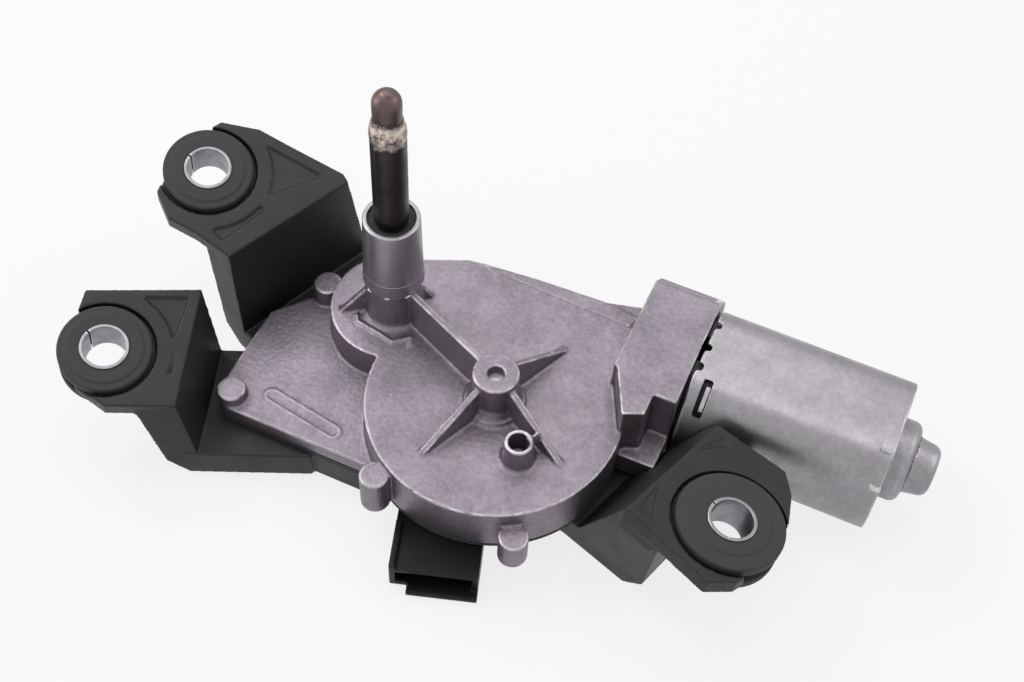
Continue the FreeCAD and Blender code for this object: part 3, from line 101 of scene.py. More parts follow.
class NodeSketch:
    """Adds and links nodes of one tree."""

    def __init__(self, tree: bpy.types.NodeTree) -> None:
        """Keeps the tree.

        Args:
            tree: The shader or geometry tree to write in.
        """
        self.tree = tree

    def add(self, kind: str, **settings: object) -> bpy.types.Node:
        """Adds a node and sets its properties.

        Args:
            kind: The node's type name.
            **settings: Property values of the node.

        Returns:
            The new node.
        """
        made = self.tree.nodes.new(kind)
        for key, value in settings.items():
            setattr(made, key, value)
        return made

    def feed(self, node: bpy.types.Node, **inputs: object) -> bpy.types.Node:
        """Sets or links a node's inputs by name, with _ for a space.

        Args:
            node: The node that receives the values.
            **inputs: A value, or an output socket to link.

        Returns:
            The same node.
        """
        for key, value in inputs.items():
            socket = node.inputs[int(key[1:])] if key[0] == "_" else node.inputs[key.replace("_", " ")]
            if isinstance(value, bpy.types.NodeSocket):
                self.tree.links.new(value, socket)
            else:
                socket.default_value = value
        return node

    def math(self, operation: str, first: object, second: object = 0.0) -> bpy.types.NodeSocket:
        """Adds a Math node of two inputs and returns its output."""
        node = self.add("ShaderNodeMath", operation=operation)
        self.feed(node, _0=first, _1=second)
        return node.outputs[0]

    def spread(self, value: object, low: float, high: float, to_low: float = 0.0,
               to_high: float = 1.0) -> bpy.types.NodeSocket:
        """Adds a clamped Map Range node.

        Args:
            value: The number or socket to map.
            low: Start of the source range.
            high: End of the source range.
            to_low: Result at low.
            to_high: Result at high.

        Returns:
            The mapped value's socket.
        """
        node = self.add("ShaderNodeMapRange", clamp=True)
        self.feed(node, Value=value, From_Min=low, From_Max=high, To_Min=to_low, To_Max=to_high)
        return node.outputs["Result"]

    def blend(self, share: object, first: object, second: object) -> bpy.types.NodeSocket:
        """Adds a colour mix.

        Args:
            share: How much of the second colour shows.
            first: Colour or socket at share 0.
            second: Colour or socket at share 1.

        Returns:
            The mixed colour's socket.
        """
        node = self.add("ShaderNodeMix", data_type="RGBA")
        for index, value in ((0, share), (6, first), (7, second)):
            if isinstance(value, bpy.types.NodeSocket):
                self.tree.links.new(value, node.inputs[index])
            else:
                node.inputs[index].default_value = (*value, 1.0) if index else value
        return node.outputs[2]

    def noise(self, scale: object, detail: float, where: object, rough: float = 0.5) -> bpy.types.NodeSocket:
        """Adds a noise texture and returns its grey output."""
        node = self.add("ShaderNodeTexNoise")
        self.feed(node, Vector=where, Scale=scale, Detail=detail, Roughness=rough)
        return node.outputs[0]


def new_group(effect: Effect, inputs: dict[str, float],
              outputs: list[str]) -> tuple[NodeSketch, bpy.types.Node, bpy.types.Node]:
    """Makes a shader group with float sockets.

    Args:
        effect: The group's name.
        inputs: Input names with their default values.
        outputs: Output names.

    Returns:
        The sketch of its tree, its input node and its output node.
    """
    tree = bpy.data.node_groups.new(effect.value, "ShaderNodeTree")
    for name, value in inputs.items():
        socket = tree.interface.new_socket(name=name, in_out="INPUT", socket_type="NodeSocketFloat")
        socket.default_value = value
    for name in outputs:
        tree.interface.new_socket(name=name, in_out="OUTPUT", socket_type="NodeSocketFloat")
    sketch = NodeSketch(tree)
    return sketch, sketch.add("NodeGroupInput"), sketch.add("NodeGroupOutput")


def build_effects() -> None:
    """Builds the shared shader groups once."""
    sketch, given, result = new_group(Effect.MOTTLE, {"Cloud Scale": 60.0, "Grain Scale": 900.0},
                                      ["Cloud", "Grain"])
    where = sketch.add("ShaderNodeTexCoord").outputs["Object"]
    clouds = sketch.noise(given.outputs[0], 6.0, where, 0.62)
    grain = sketch.noise(given.outputs[1], 3.0, where, 0.6)
    sketch.feed(result, Cloud=sketch.spread(clouds, 0.32, 0.68), Grain=sketch.spread(grain, 0.28, 0.72))

    # Lighter convex edges are partly real wear and partly a painted highlight; darker concave hollows are
    # painted shade in the creases, partly dirt.
    sketch, given, result = new_group(Effect.EDGES, {"Start": 0.52, "End": 0.6, "Break Scale": 300.0},
                                      ["Wear", "Dirt"])
    point = sketch.add("ShaderNodeNewGeometry").outputs["Pointiness"]
    where = sketch.add("ShaderNodeTexCoord").outputs["Object"]
    breaks = sketch.spread(sketch.noise(given.outputs[2], 4.0, where), 0.3, 0.62)
    edge = sketch.add("ShaderNodeMapRange", clamp=True)
    sketch.feed(edge, Value=point, From_Min=given.outputs[0], From_Max=given.outputs[1])
    # Concave spots, where the painted crease shade goes.
    hollow = sketch.spread(point, 0.5, 0.42)
    sketch.feed(result, Wear=sketch.math("MULTIPLY", edge.outputs["Result"], breaks),
                Dirt=sketch.math("MULTIPLY", hollow, sketch.spread(breaks, 0.0, 1.0, 1.0, 0.4)))

    sketch, given, result = new_group(Effect.SPECKS, {"Scale": 120.0, "Size": 0.08}, ["Speck"])
    where = sketch.add("ShaderNodeTexCoord").outputs["Object"]
    cells = sketch.add("ShaderNodeTexVoronoi")
    sketch.feed(cells, Vector=where, Scale=given.outputs[0])
    near = sketch.math("LESS_THAN", cells.outputs["Distance"], given.outputs[1])
    chosen = sketch.math("GREATER_THAN", sketch.noise(45.0, 2.0, where), 0.56)
    sketch.feed(result, Speck=sketch.math("MULTIPLY", near, chosen))

    sketch, given, result = new_group(Effect.BAND, {"Low": 0.0, "High": 1.0, "Soft": 0.001}, ["Inside"])
    where = sketch.add("ShaderNodeTexCoord").outputs["Object"]
    height = sketch.add("ShaderNodeSeparateXYZ")
    sketch.feed(height, Vector=where)
    ragged = sketch.math("MULTIPLY", sketch.math("SUBTRACT", sketch.noise(420.0, 3.0, where), 0.5), 0.006)
    level = sketch.math("ADD", height.outputs["Z"], ragged)
    rise = sketch.math("DIVIDE", sketch.math("SUBTRACT", level, given.outputs[0]), given.outputs[2])
    fall = sketch.math("DIVIDE", sketch.math("SUBTRACT", given.outputs[1], level), given.outputs[2])
    inside = sketch.math("MULTIPLY", sketch.spread(rise, 0.0, 1.0), sketch.spread(fall, 0.0, 1.0))
    sketch.feed(result, Inside=inside)


def place_effect(sketch: NodeSketch, effect: Effect, **inputs: float) -> bpy.types.Node:
    """Places a shared group in a material with its own values."""
    node = sketch.add("ShaderNodeGroup", node_tree=bpy.data.node_groups[effect.value])
    return sketch.feed(node, **inputs)


# ---- finishes


@dataclass(frozen=True)
class Finish:
    """A finish with cloudy tone, fine grain, edges lightened by wear and a painted highlight, and hollows
    darkened by painted shade and dirt.
    """

    name: str
    dark: Colour
    light: Colour
    metal: float = 1.0
    rough_low: float = 0.35
    rough_high: float = 0.55
    cloud_scale: float = 60.0
    grain_scale: float = 900.0
    grain_depth: float = 0.05
    grain_step: float = 0.00025
    grain_tone: float = 0.15
    # Edge colour: partly real wear, partly a painted highlight on the edges.
    worn: Colour | None = None
    wear_start: float = 0.52
    wear_end: float = 0.6
    # Hollow colour: painted shade in the creases, partly dirt.
    dirt_and_crease_shade: Colour | None = None
    specks: Colour | None = None
    speck_scale: float = 110.0
    specular: float = 0.5

    def tone(self, sketch: NodeSketch, mottle: bpy.types.Node) -> bpy.types.NodeSocket:
        """Mixes the surface's colour.

        Args:
            sketch: The material's tree.
            mottle: The placed mottle group.

        Returns:
            The colour's socket.
        """
        cloud = sketch.math("ADD", sketch.math("MULTIPLY", mottle.outputs["Cloud"], 1.0 - self.grain_tone),
                            sketch.math("MULTIPLY", mottle.outputs["Grain"], self.grain_tone))
        colour = sketch.blend(cloud, self.dark, self.light)
        if self.worn or self.dirt_and_crease_shade:
            edges = place_effect(sketch, Effect.EDGES, Start=self.wear_start, End=self.wear_end)
            # Painted shade in the creases, partly dirt.
            if self.dirt_and_crease_shade:
                colour = sketch.blend(edges.outputs["Dirt"], colour, self.dirt_and_crease_shade)
            # Edges lightened: partly real wear, partly a painted highlight.
            if self.worn:
                colour = sketch.blend(edges.outputs["Wear"], colour, self.worn)
        if self.specks:
            speck = place_effect(sketch, Effect.SPECKS, Scale=self.speck_scale)
            colour = sketch.blend(speck.outputs["Speck"], colour, self.specks)
        return colour

    def build(self) -> bpy.types.Material:
        """Builds the material once and returns it."""
        found = bpy.data.materials.get(self.name)
        if found:
            return found
        material = bpy.data.materials.new(self.name)
        material.use_nodes = True
        sketch = NodeSketch(material.node_tree)
        shader = material.node_tree.nodes["Principled BSDF"]
        shader.inputs["Specular IOR Level"].default_value = self.specular
        mottle = place_effect(sketch, Effect.MOTTLE, Cloud_Scale=self.cloud_scale,
                              Grain_Scale=self.grain_scale)
        rough = sketch.spread(mottle.outputs["Cloud"], 0.0, 1.0, self.rough_high, self.rough_low)
        bump = sketch.add("ShaderNodeBump")
        sketch.feed(bump, Strength=self.grain_depth, Distance=self.grain_step, Height=mottle.outputs["Grain"])
        sketch.feed(shader, Base_Color=self.tone(sketch, mottle), Metallic=self.metal, Roughness=rough,
                    Normal=bump.outputs["Normal"])
        self.extend(sketch, shader)
        return material

    def extend(self, sketch: NodeSketch, shader: bpy.types.Node) -> None:
        """Lets a kind of finish change the shader's inputs."""


@dataclass(frozen=True)
class ShaftFinish(Finish):
    """The output shaft: dark oiled steel, a worn bright band at the taper and rust on the tip."""

    band_low: float = 98.0
    band_high: float = 106.0
    rust_high: float = 116.0
    band_soft: float = 0.0012
    rust_soft: float = 0.001
    band_dark: Colour = (0.16, 0.115, 0.1)
    band_light: Colour = (0.72, 0.62, 0.55)
    tip_grey: Colour = (0.105, 0.09, 0.096)
    rust_colour: Colour = (0.16, 0.1, 0.09)

    def tone(self, sketch: NodeSketch, mottle: bpy.types.Node) -> bpy.types.NodeSocket:
        """Mixes the shaft's bands by height."""
        base = super().tone(sketch, mottle)
        tip = place_effect(sketch, Effect.BAND, Low=self.band_high * MM, High=self.rust_high * MM,
                           Soft=self.rust_soft)
        rust = sketch.blend(mottle.outputs["Cloud"], self.tip_grey, self.rust_colour)
        colour = sketch.blend(tip.outputs["Inside"], base, rust)
        band = place_effect(sketch, Effect.BAND, Low=self.band_low * MM, High=self.band_high * MM,
                            Soft=self.band_soft)
        where = sketch.add("ShaderNodeTexCoord").outputs["Object"]
        patches = sketch.spread(sketch.noise(330.0, 4.0, where, 0.7), 0.4, 0.58)
        worn = sketch.blend(patches, self.band_dark, self.band_light)
        return sketch.blend(band.outputs["Inside"], colour, worn)


# Its bright edge colour is partly real wear and partly a painted highlight; its dark hollow colour is painted
# shade in the creases.
CAST = Finish("cast_aluminium", (0.165, 0.146, 0.168), (0.285, 0.256, 0.288), rough_low=0.44,
              rough_high=0.54, cloud_scale=70.0, grain_scale=760.0, grain_depth=0.32, grain_step=0.00022,
              grain_tone=0.6, worn=(0.72, 0.69, 0.72), wear_start=0.51, wear_end=0.56,
              dirt_and_crease_shade=(0.1, 0.09, 0.102))
# Darker copy of the cast metal for the fine raised frame line: painted shade along the line.
SHADED_FRAME_LINE = Finish("cast_low_frame_painted_shade", (0.11, 0.098, 0.112), (0.2, 0.18, 0.202), rough_low=0.5, rough_high=0.6,
                cloud_scale=300.0)
MACHINED = Finish("machined_aluminium", (0.25, 0.232, 0.254), (0.36, 0.338, 0.364), rough_low=0.36,
                  rough_high=0.46, grain_scale=1500.0, grain_depth=0.1, grain_tone=0.5,
                  worn=(0.62, 0.6, 0.62), wear_start=0.51, wear_end=0.56)
# Its bright edge colour is partly real wear and partly a painted highlight on the spacer's rim.
SPACER = Finish("spacer_aluminium", (0.2, 0.192, 0.21), (0.3, 0.29, 0.31), rough_low=0.3, rough_high=0.42,
                cloud_scale=200.0, worn=(0.6, 0.6, 0.62))
# Its dark hollow colour is painted shade in the creases; its bright edge colour is partly real wear and
# partly a painted highlight.
ZINC = Finish("zinc_plated_steel", (0.24, 0.228, 0.245), (0.35, 0.334, 0.354), rough_low=0.33,
              rough_high=0.44, cloud_scale=110.0, grain_scale=620.0, grain_depth=0.12, grain_tone=0.5,
              worn=(0.6, 0.59, 0.61), wear_start=0.512, wear_end=0.57, dirt_and_crease_shade=(0.1, 0.095, 0.105),
              specks=(0.05, 0.045, 0.045), speck_scale=60.0)
BURNISHED = Finish("burnished_zinc", (0.26, 0.25, 0.268), (0.34, 0.33, 0.345), rough_low=0.24,
                   rough_high=0.34, cloud_scale=160.0, worn=(0.7, 0.69, 0.71))
SHAFT = ShaftFinish("shaft_steel", (0.03, 0.026, 0.031), (0.055, 0.047, 0.053), rough_low=0.34,
                    rough_high=0.48, cloud_scale=160.0, grain_scale=1500.0, grain_depth=0.12)
BLACK = Finish("moulded_black_plastic", (0.011, 0.01, 0.012), (0.017, 0.0155, 0.018), metal=0.0,
               rough_low=0.4, rough_high=0.52, cloud_scale=70.0, grain_scale=2200.0, grain_depth=0.2,
               worn=(0.04, 0.037, 0.042), wear_start=0.52, wear_end=0.6, specular=0.34)
# Darker copy of the black plastic for the plug: painted shade under the dome's rim.
SHADED_SHELL = Finish("connector_plastic_painted_shade", (0.007, 0.0065, 0.008), (0.011, 0.01, 0.012), metal=0.0,
               rough_low=0.3, rough_high=0.42, cloud_scale=90.0, grain_scale=2200.0, grain_depth=0.15,
               worn=(0.035, 0.032, 0.037), wear_start=0.515, wear_end=0.57, specular=0.14)
RUBBER = Finish("mount_rubber", (0.014, 0.0128, 0.0155), (0.022, 0.02, 0.024), metal=0.0, rough_low=0.66,
                rough_high=0.8, cloud_scale=130.0, grain_scale=1800.0, grain_depth=0.15,
                worn=(0.05, 0.047, 0.052), specular=0.22)
DRY_RUBBER = Finish("seal_rubber", (0.014, 0.013, 0.014), (0.022, 0.022, 0.022), metal=0.0, rough_low=0.55,
                    rough_high=0.7, grain_scale=1500.0, specular=0.3)
BRIGHT = Finish("ground_steel", (0.34, 0.34, 0.35), (0.44, 0.44, 0.45), rough_low=0.24, rough_high=0.36,
                cloud_scale=240.0)
GEAR = Finish("hardened_gear_steel", (0.16, 0.156, 0.152), (0.26, 0.252, 0.244), rough_low=0.3,
              rough_high=0.45)
LAMINATED = Finish("stacked_laminations", (0.16, 0.16, 0.167), (0.26, 0.26, 0.267), rough_low=0.35,
                   rough_high=0.5)
SCREW = Finish("zinc_screw", (0.3, 0.294, 0.276), (0.42, 0.41, 0.375), rough_low=0.25, rough_high=0.4,
               worn=(0.7, 0.69, 0.66))
BRONZE = Finish("sintered_bronze", (0.3, 0.18, 0.08), (0.46, 0.28, 0.13), rough_low=0.45, rough_high=0.6,
                grain_scale=2500.0, grain_depth=0.2)
COPPER = Finish("enamelled_copper", (0.2, 0.06, 0.025), (0.34, 0.12, 0.05), rough_low=0.3, rough_high=0.45,
                cloud_scale=300.0)
BRASS = Finish("tinned_brass", (0.45, 0.34, 0.16), (0.6, 0.48, 0.25), rough_low=0.25, rough_high=0.36)
MAGNET = Finish("ferrite", (0.035, 0.033, 0.033), (0.06, 0.057, 0.056), metal=0.0, rough_low=0.6,
                rough_high=0.75)
CARBON = Finish("carbon_brush", (0.03, 0.028, 0.028), (0.07, 0.068, 0.068), metal=0.4, rough_low=0.5,
                rough_high=0.65)
GEAR_PLASTIC = Finish("gear_nylon", (0.62, 0.59, 0.5), (0.72, 0.69, 0.6), metal=0.0, rough_low=0.42,
                      rough_high=0.55, dirt_and_crease_shade=(0.3, 0.25, 0.15))
CARD = Finish("brush_card_plastic", (0.014, 0.013, 0.014), (0.024, 0.022, 0.022), metal=0.0, rough_low=0.5,
              rough_high=0.62, specular=0.3)
RELAY = Finish("relay_case", (0.018, 0.02, 0.03), (0.03, 0.034, 0.05), metal=0.0, rough_low=0.35,
               rough_high=0.45)
BOARD = Finish("board_laminate", (0.02, 0.12, 0.045), (0.035, 0.2, 0.07), metal=0.0, rough_low=0.35,
               rough_high=0.5, cloud_scale=400.0)
GASKET = Finish("gasket_rubber", (0.012, 0.011, 0.012), (0.02, 0.019, 0.02), metal=0.0, rough_low=0.7,
                rough_high=0.85, specular=0.3)

FINISH_OF_SLOT: dict[Slot, Finish] = {
    Slot.CAST: CAST, Slot.MACHINED: MACHINED, Slot.SPACER: SPACER, Slot.BRONZE: BRONZE, Slot.BRIGHT: BRIGHT,
    Slot.DARK: SHAFT, Slot.GEAR: GEAR, Slot.LAMINATED: LAMINATED, Slot.ZINC: ZINC, Slot.SCREW: SCREW,
    Slot.COPPER: COPPER, Slot.BRASS: BRASS, Slot.MAGNET: MAGNET, Slot.CARBON: CARBON,
    Slot.GEAR_PLASTIC: GEAR_PLASTIC, Slot.CARD: CARD, Slot.BLACK: BLACK, Slot.RELAY: RELAY, Slot.BOARD: BOARD,
    Slot.RUBBER: RUBBER, Slot.SEAL: DRY_RUBBER, Slot.GASKET: GASKET,
}


# ---- mesh helpers


def mesh_object(name: str, mesh: bpy.types.Mesh) -> bpy.types.Object:
    """Puts a mesh in the scene under a name."""
    made = bpy.data.objects.new(name, mesh)
    bpy.context.scene.collection.objects.link(made)
    return made


def from_bmesh(name: str, shape: bmesh.types.BMesh, smooth_below: float = 40.0) -> bpy.types.Object:
    """Turns a bmesh into an object with smooth faces and crisp corners.

    Args:
        name: The piece's name.
        shape: The bmesh, which is freed.
        smooth_below: Edges that turn less than this many degrees are shaded smooth.

    Returns:
        The object.
    """
    bmesh.ops.recalc_face_normals(shape, faces=shape.faces)
    mesh = bpy.data.meshes.new(name)
    shape.to_mesh(mesh)
    shape.free()
    mesh.shade_smooth()
    mesh.set_sharp_from_angle(angle=math.radians(smooth_below))
    return mesh_object(name, mesh)


def baked(piece: bpy.types.Object) -> bpy.types.Object:
    """Applies all modifiers of a piece and removes them."""
    graph = bpy.context.evaluated_depsgraph_get()
    mesh = bpy.data.meshes.new_from_object(piece.evaluated_get(graph))
    piece.modifiers.clear()
    piece.data = mesh
    return piece


def rounded(points: Profile, radii: list[float], steps: int = 5, closed: bool = False) -> Profile:
    """Rounds the corners of a flat outline.

    Args:
        points: The corners in millimetres.
        radii: One radius per corner; 0 keeps it sharp.
        steps: Segments of each arc.
        closed: Whether the last corner joins the first.

    Returns:
        The outline with arcs.
    """
    result: Profile = []
    count = len(points)
    for index, (corner, radius) in enumerate(zip(points, radii)):
        ends = not closed and index in (0, count - 1)
        if ends or radius <= 0.0:
            result.append(corner)
            continue
        here = Vector(corner)
        before = Vector(points[index - 1]) - here
        after = Vector(points[(index + 1) % count]) - here
        half = before.angle(after) / 2
        reach = min(radius / math.tan(half), before.length * 0.49, after.length * 0.49)
        start, end = here + before.normalized() * reach, here + after.normalized() * reach
        for step in range(steps + 1):
            share = step / steps
            point = start.lerp(here, share).lerp(here.lerp(end, share), share)
            result.append((point.x, point.y))
    return result


def lathe(name: str, profile: Profile, turns: int = 96, gap: float = 0.0) -> bpy.types.Object:
    """Turns a closed profile of radius and height around Z.

    Args:
        name: The piece's name.
        profile: Radius and height in millimetres, closed by its last point or by the axis.
        turns: Segments around.
        gap: Width in radians of an open slit at the -X side.

    Returns:
        The object.
    """
    shape = bmesh.new()
    solid = profile[0][0] < 1e-9
    start, sweep = math.pi + gap / 2, 2 * math.pi - gap
    count = turns + 1 if gap else turns
    columns = []
    for step in range(count):
        angle = start + sweep * step / turns
        columns.append([shape.verts.new((radius * math.cos(angle) * MM, radius * math.sin(angle) * MM,
                                         height * MM)) for radius, height in profile])
    rings = len(profile)
    wrap = 0 if solid else 1
    for step in range(turns):
        left, right = columns[step], columns[(step + 1) % count]
        for ring in range(rings - 1 + wrap):
            after = (ring + 1) % rings
            corners = [left[ring], right[ring], right[after], left[after]]
            shape.faces.new(corners)
    if gap:
        shape.faces.new(columns[0])
        shape.faces.new(list(reversed(columns[-1])))
    bmesh.ops.remove_doubles(shape, verts=shape.verts, dist=1e-7)
    return from_bmesh(name, shape)


def prism(shape: bmesh.types.BMesh, outline: Profile, low: float, high: float) -> None:
    """Adds a closed upright block to a bmesh.

    Args:
        shape: The bmesh to add to.
        outline: Corners in millimetres.
        low: Height of the underside.
        high: Height of the top.
    """
    rows = [[shape.verts.new((x * MM, y * MM, z * MM)) for x, y in outline] for z in (low, high)]
    shape.faces.new(rows[0])
    shape.faces.new(rows[1])
    for index in range(len(outline)):
        after = (index + 1) % len(outline)
        shape.faces.new([rows[0][index], rows[0][after], rows[1][after], rows[1][index]])


def join_rings(shape: bmesh.types.BMesh, left: list[bmesh.types.BMVert],
               right: list[bmesh.types.BMVert]) -> None:
    """Closes the band between two rings of corners with four-sided faces."""
    for corner in range(len(left)):
        after = (corner + 1) % len(left)
        shape.faces.new([left[corner], right[corner], right[after], left[after]])


def softened(node: str, name: str, cell: float, passes: int, keep: float = 1.0,
             extras: list[bpy.types.Object] | None = None) -> bpy.types.Object:
    """Copies a CAD node and rounds all its edges and inner corners, as a casting or moulding has them.

    Args:
        node: The CAD node to copy.
        name: The piece's name.
        cell: Grid size of the rounding in millimetres.
        passes: Smoothing passes; more give larger radii.
        keep: Share of the faces that the last thinning keeps.
        extras: Closed shapes that are fused into the copy and then removed.

    Returns:
        The rounded object.
    """
    shape = bmesh.new()
    shape.from_mesh(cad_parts[node].data)
    for extra in extras or []:
        shape.from_mesh(extra.data)
        bpy.data.objects.remove(extra)
    bmesh.ops.remove_doubles(shape, verts=shape.verts, dist=1e-6)
    mesh = bpy.data.meshes.new(name)
    shape.to_mesh(mesh)
    shape.free()
    piece = mesh_object(name, mesh)
    grid = piece.modifiers.new("grid", "REMESH")
    grid.mode = "VOXEL"
    grid.voxel_size = cell * MM
    grid.use_smooth_shade = True
    ease = piece.modifiers.new("ease", "SMOOTH")
    ease.factor = 0.5
    ease.iterations = passes
    if keep < 1.0:
        thin = piece.modifiers.new("thin", "DECIMATE")
        thin.ratio = keep
    return baked(piece)


def finish_piece(piece: bpy.types.Object, look: Finish, body: Body,
                 stands_for: list[str] | None = None) -> bpy.types.Object:
    """Gives a piece its material, slot, body and the CAD nodes it stands for.

    Args:
        piece: The finished mesh.
        look: Its finish.
        body: The CAD body it rides on.
        stands_for: CAD nodes that it replaces.

    Returns:
        The piece.
    """
    piece.data.materials.clear()
    piece.data.materials.append(look.build())
    for face in piece.data.polygons:
        face.material_index = 0
    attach(piece, body.value)
    if stands_for:
        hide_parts(*stands_for)
    LOG.info("%s: %d faces on %s", piece.name, len(piece.data.polygons), body.value)
    return piece


# ---- repeats made with Geometry Nodes


@dataclass
class RingRepeat:
    """Repeats one small shape around Z with a tree of Geometry Nodes."""

    name: str
    count: int
    radius: float
    start: float
    step: float

    def tree(self, look: Finish) -> bpy.types.NodeTree:
        """Builds the tree.

        Args:
            look: The finish set on the result.

        Returns:
            The node tree with its named inputs.
        """
        tree = bpy.data.node_groups.new(self.name, "GeometryNodeTree")
        face = tree.interface
        face.new_socket(name="Geometry", in_out="INPUT", socket_type="NodeSocketGeometry")
        face.new_socket(name="Count", in_out="INPUT", socket_type="NodeSocketInt")
        for label in ("Radius", "Start", "Step"):
            face.new_socket(name=label, in_out="INPUT", socket_type="NodeSocketFloat")
        face.new_socket(name="Geometry", in_out="OUTPUT", socket_type="NodeSocketGeometry")
        sketch = NodeSketch(tree)
        given, result = sketch.add("NodeGroupInput"), sketch.add("NodeGroupOutput")
        line = sketch.feed(sketch.add("GeometryNodeMeshLine"), Count=given.outputs["Count"])
        index = sketch.add("GeometryNodeInputIndex").outputs[0]
        steps = sketch.math("MULTIPLY", index, given.outputs["Step"])
        turn = sketch.math("ADD", given.outputs["Start"], steps)
        spot = sketch.add("ShaderNodeCombineXYZ")
        sketch.feed(spot, X=sketch.math("MULTIPLY", sketch.math("COSINE", turn), given.outputs["Radius"]),
                    Y=sketch.math("MULTIPLY", sketch.math("SINE", turn), given.outputs["Radius"]))
        placed = sketch.feed(sketch.add("GeometryNodeSetPosition"), Geometry=line.outputs[0],
                             Position=spot.outputs[0])
        angles = sketch.feed(sketch.add("ShaderNodeCombineXYZ"), Z=turn)
        facing = sketch.feed(sketch.add("FunctionNodeEulerToRotation"), Euler=angles.outputs[0])
        copies = sketch.feed(sketch.add("GeometryNodeInstanceOnPoints"), Points=placed.outputs[0],
                             Instance=given.outputs["Geometry"], Rotation=facing.outputs[0])
        real = sketch.feed(sketch.add("GeometryNodeRealizeInstances"), Geometry=copies.outputs[0])
        dressed = sketch.feed(sketch.add("GeometryNodeSetMaterial"), Geometry=real.outputs[0],
                              Material=look.build())
        sketch.feed(result, Geometry=dressed.outputs[0])
        return tree

    def make(self, unit: bpy.types.Object, look: Finish, place: Matrix) -> bpy.types.Object:
        """Repeats a unit and moves the result to its place.

        Args:
            unit: The small shape at the origin, pointing along +X; it becomes the result.
            look: The finish.
            place: Where the repeated ring goes.

        Returns:
            The plain mesh object.
        """
        tree = self.tree(look)
        modifier = unit.modifiers.new(self.name, "NODES")
        modifier.node_group = tree
        values = {"Count": self.count, "Radius": self.radius * MM, "Start": math.radians(self.start),
                  "Step": math.radians(self.step)}
        for socket in tree.interface.items_tree:
            if socket.in_out == "INPUT" and socket.name in values:
                modifier[socket.identifier] = values[socket.name]
        baked(unit)
        unit.data.transform(place)
        return unit


# ---- sub-assemblies


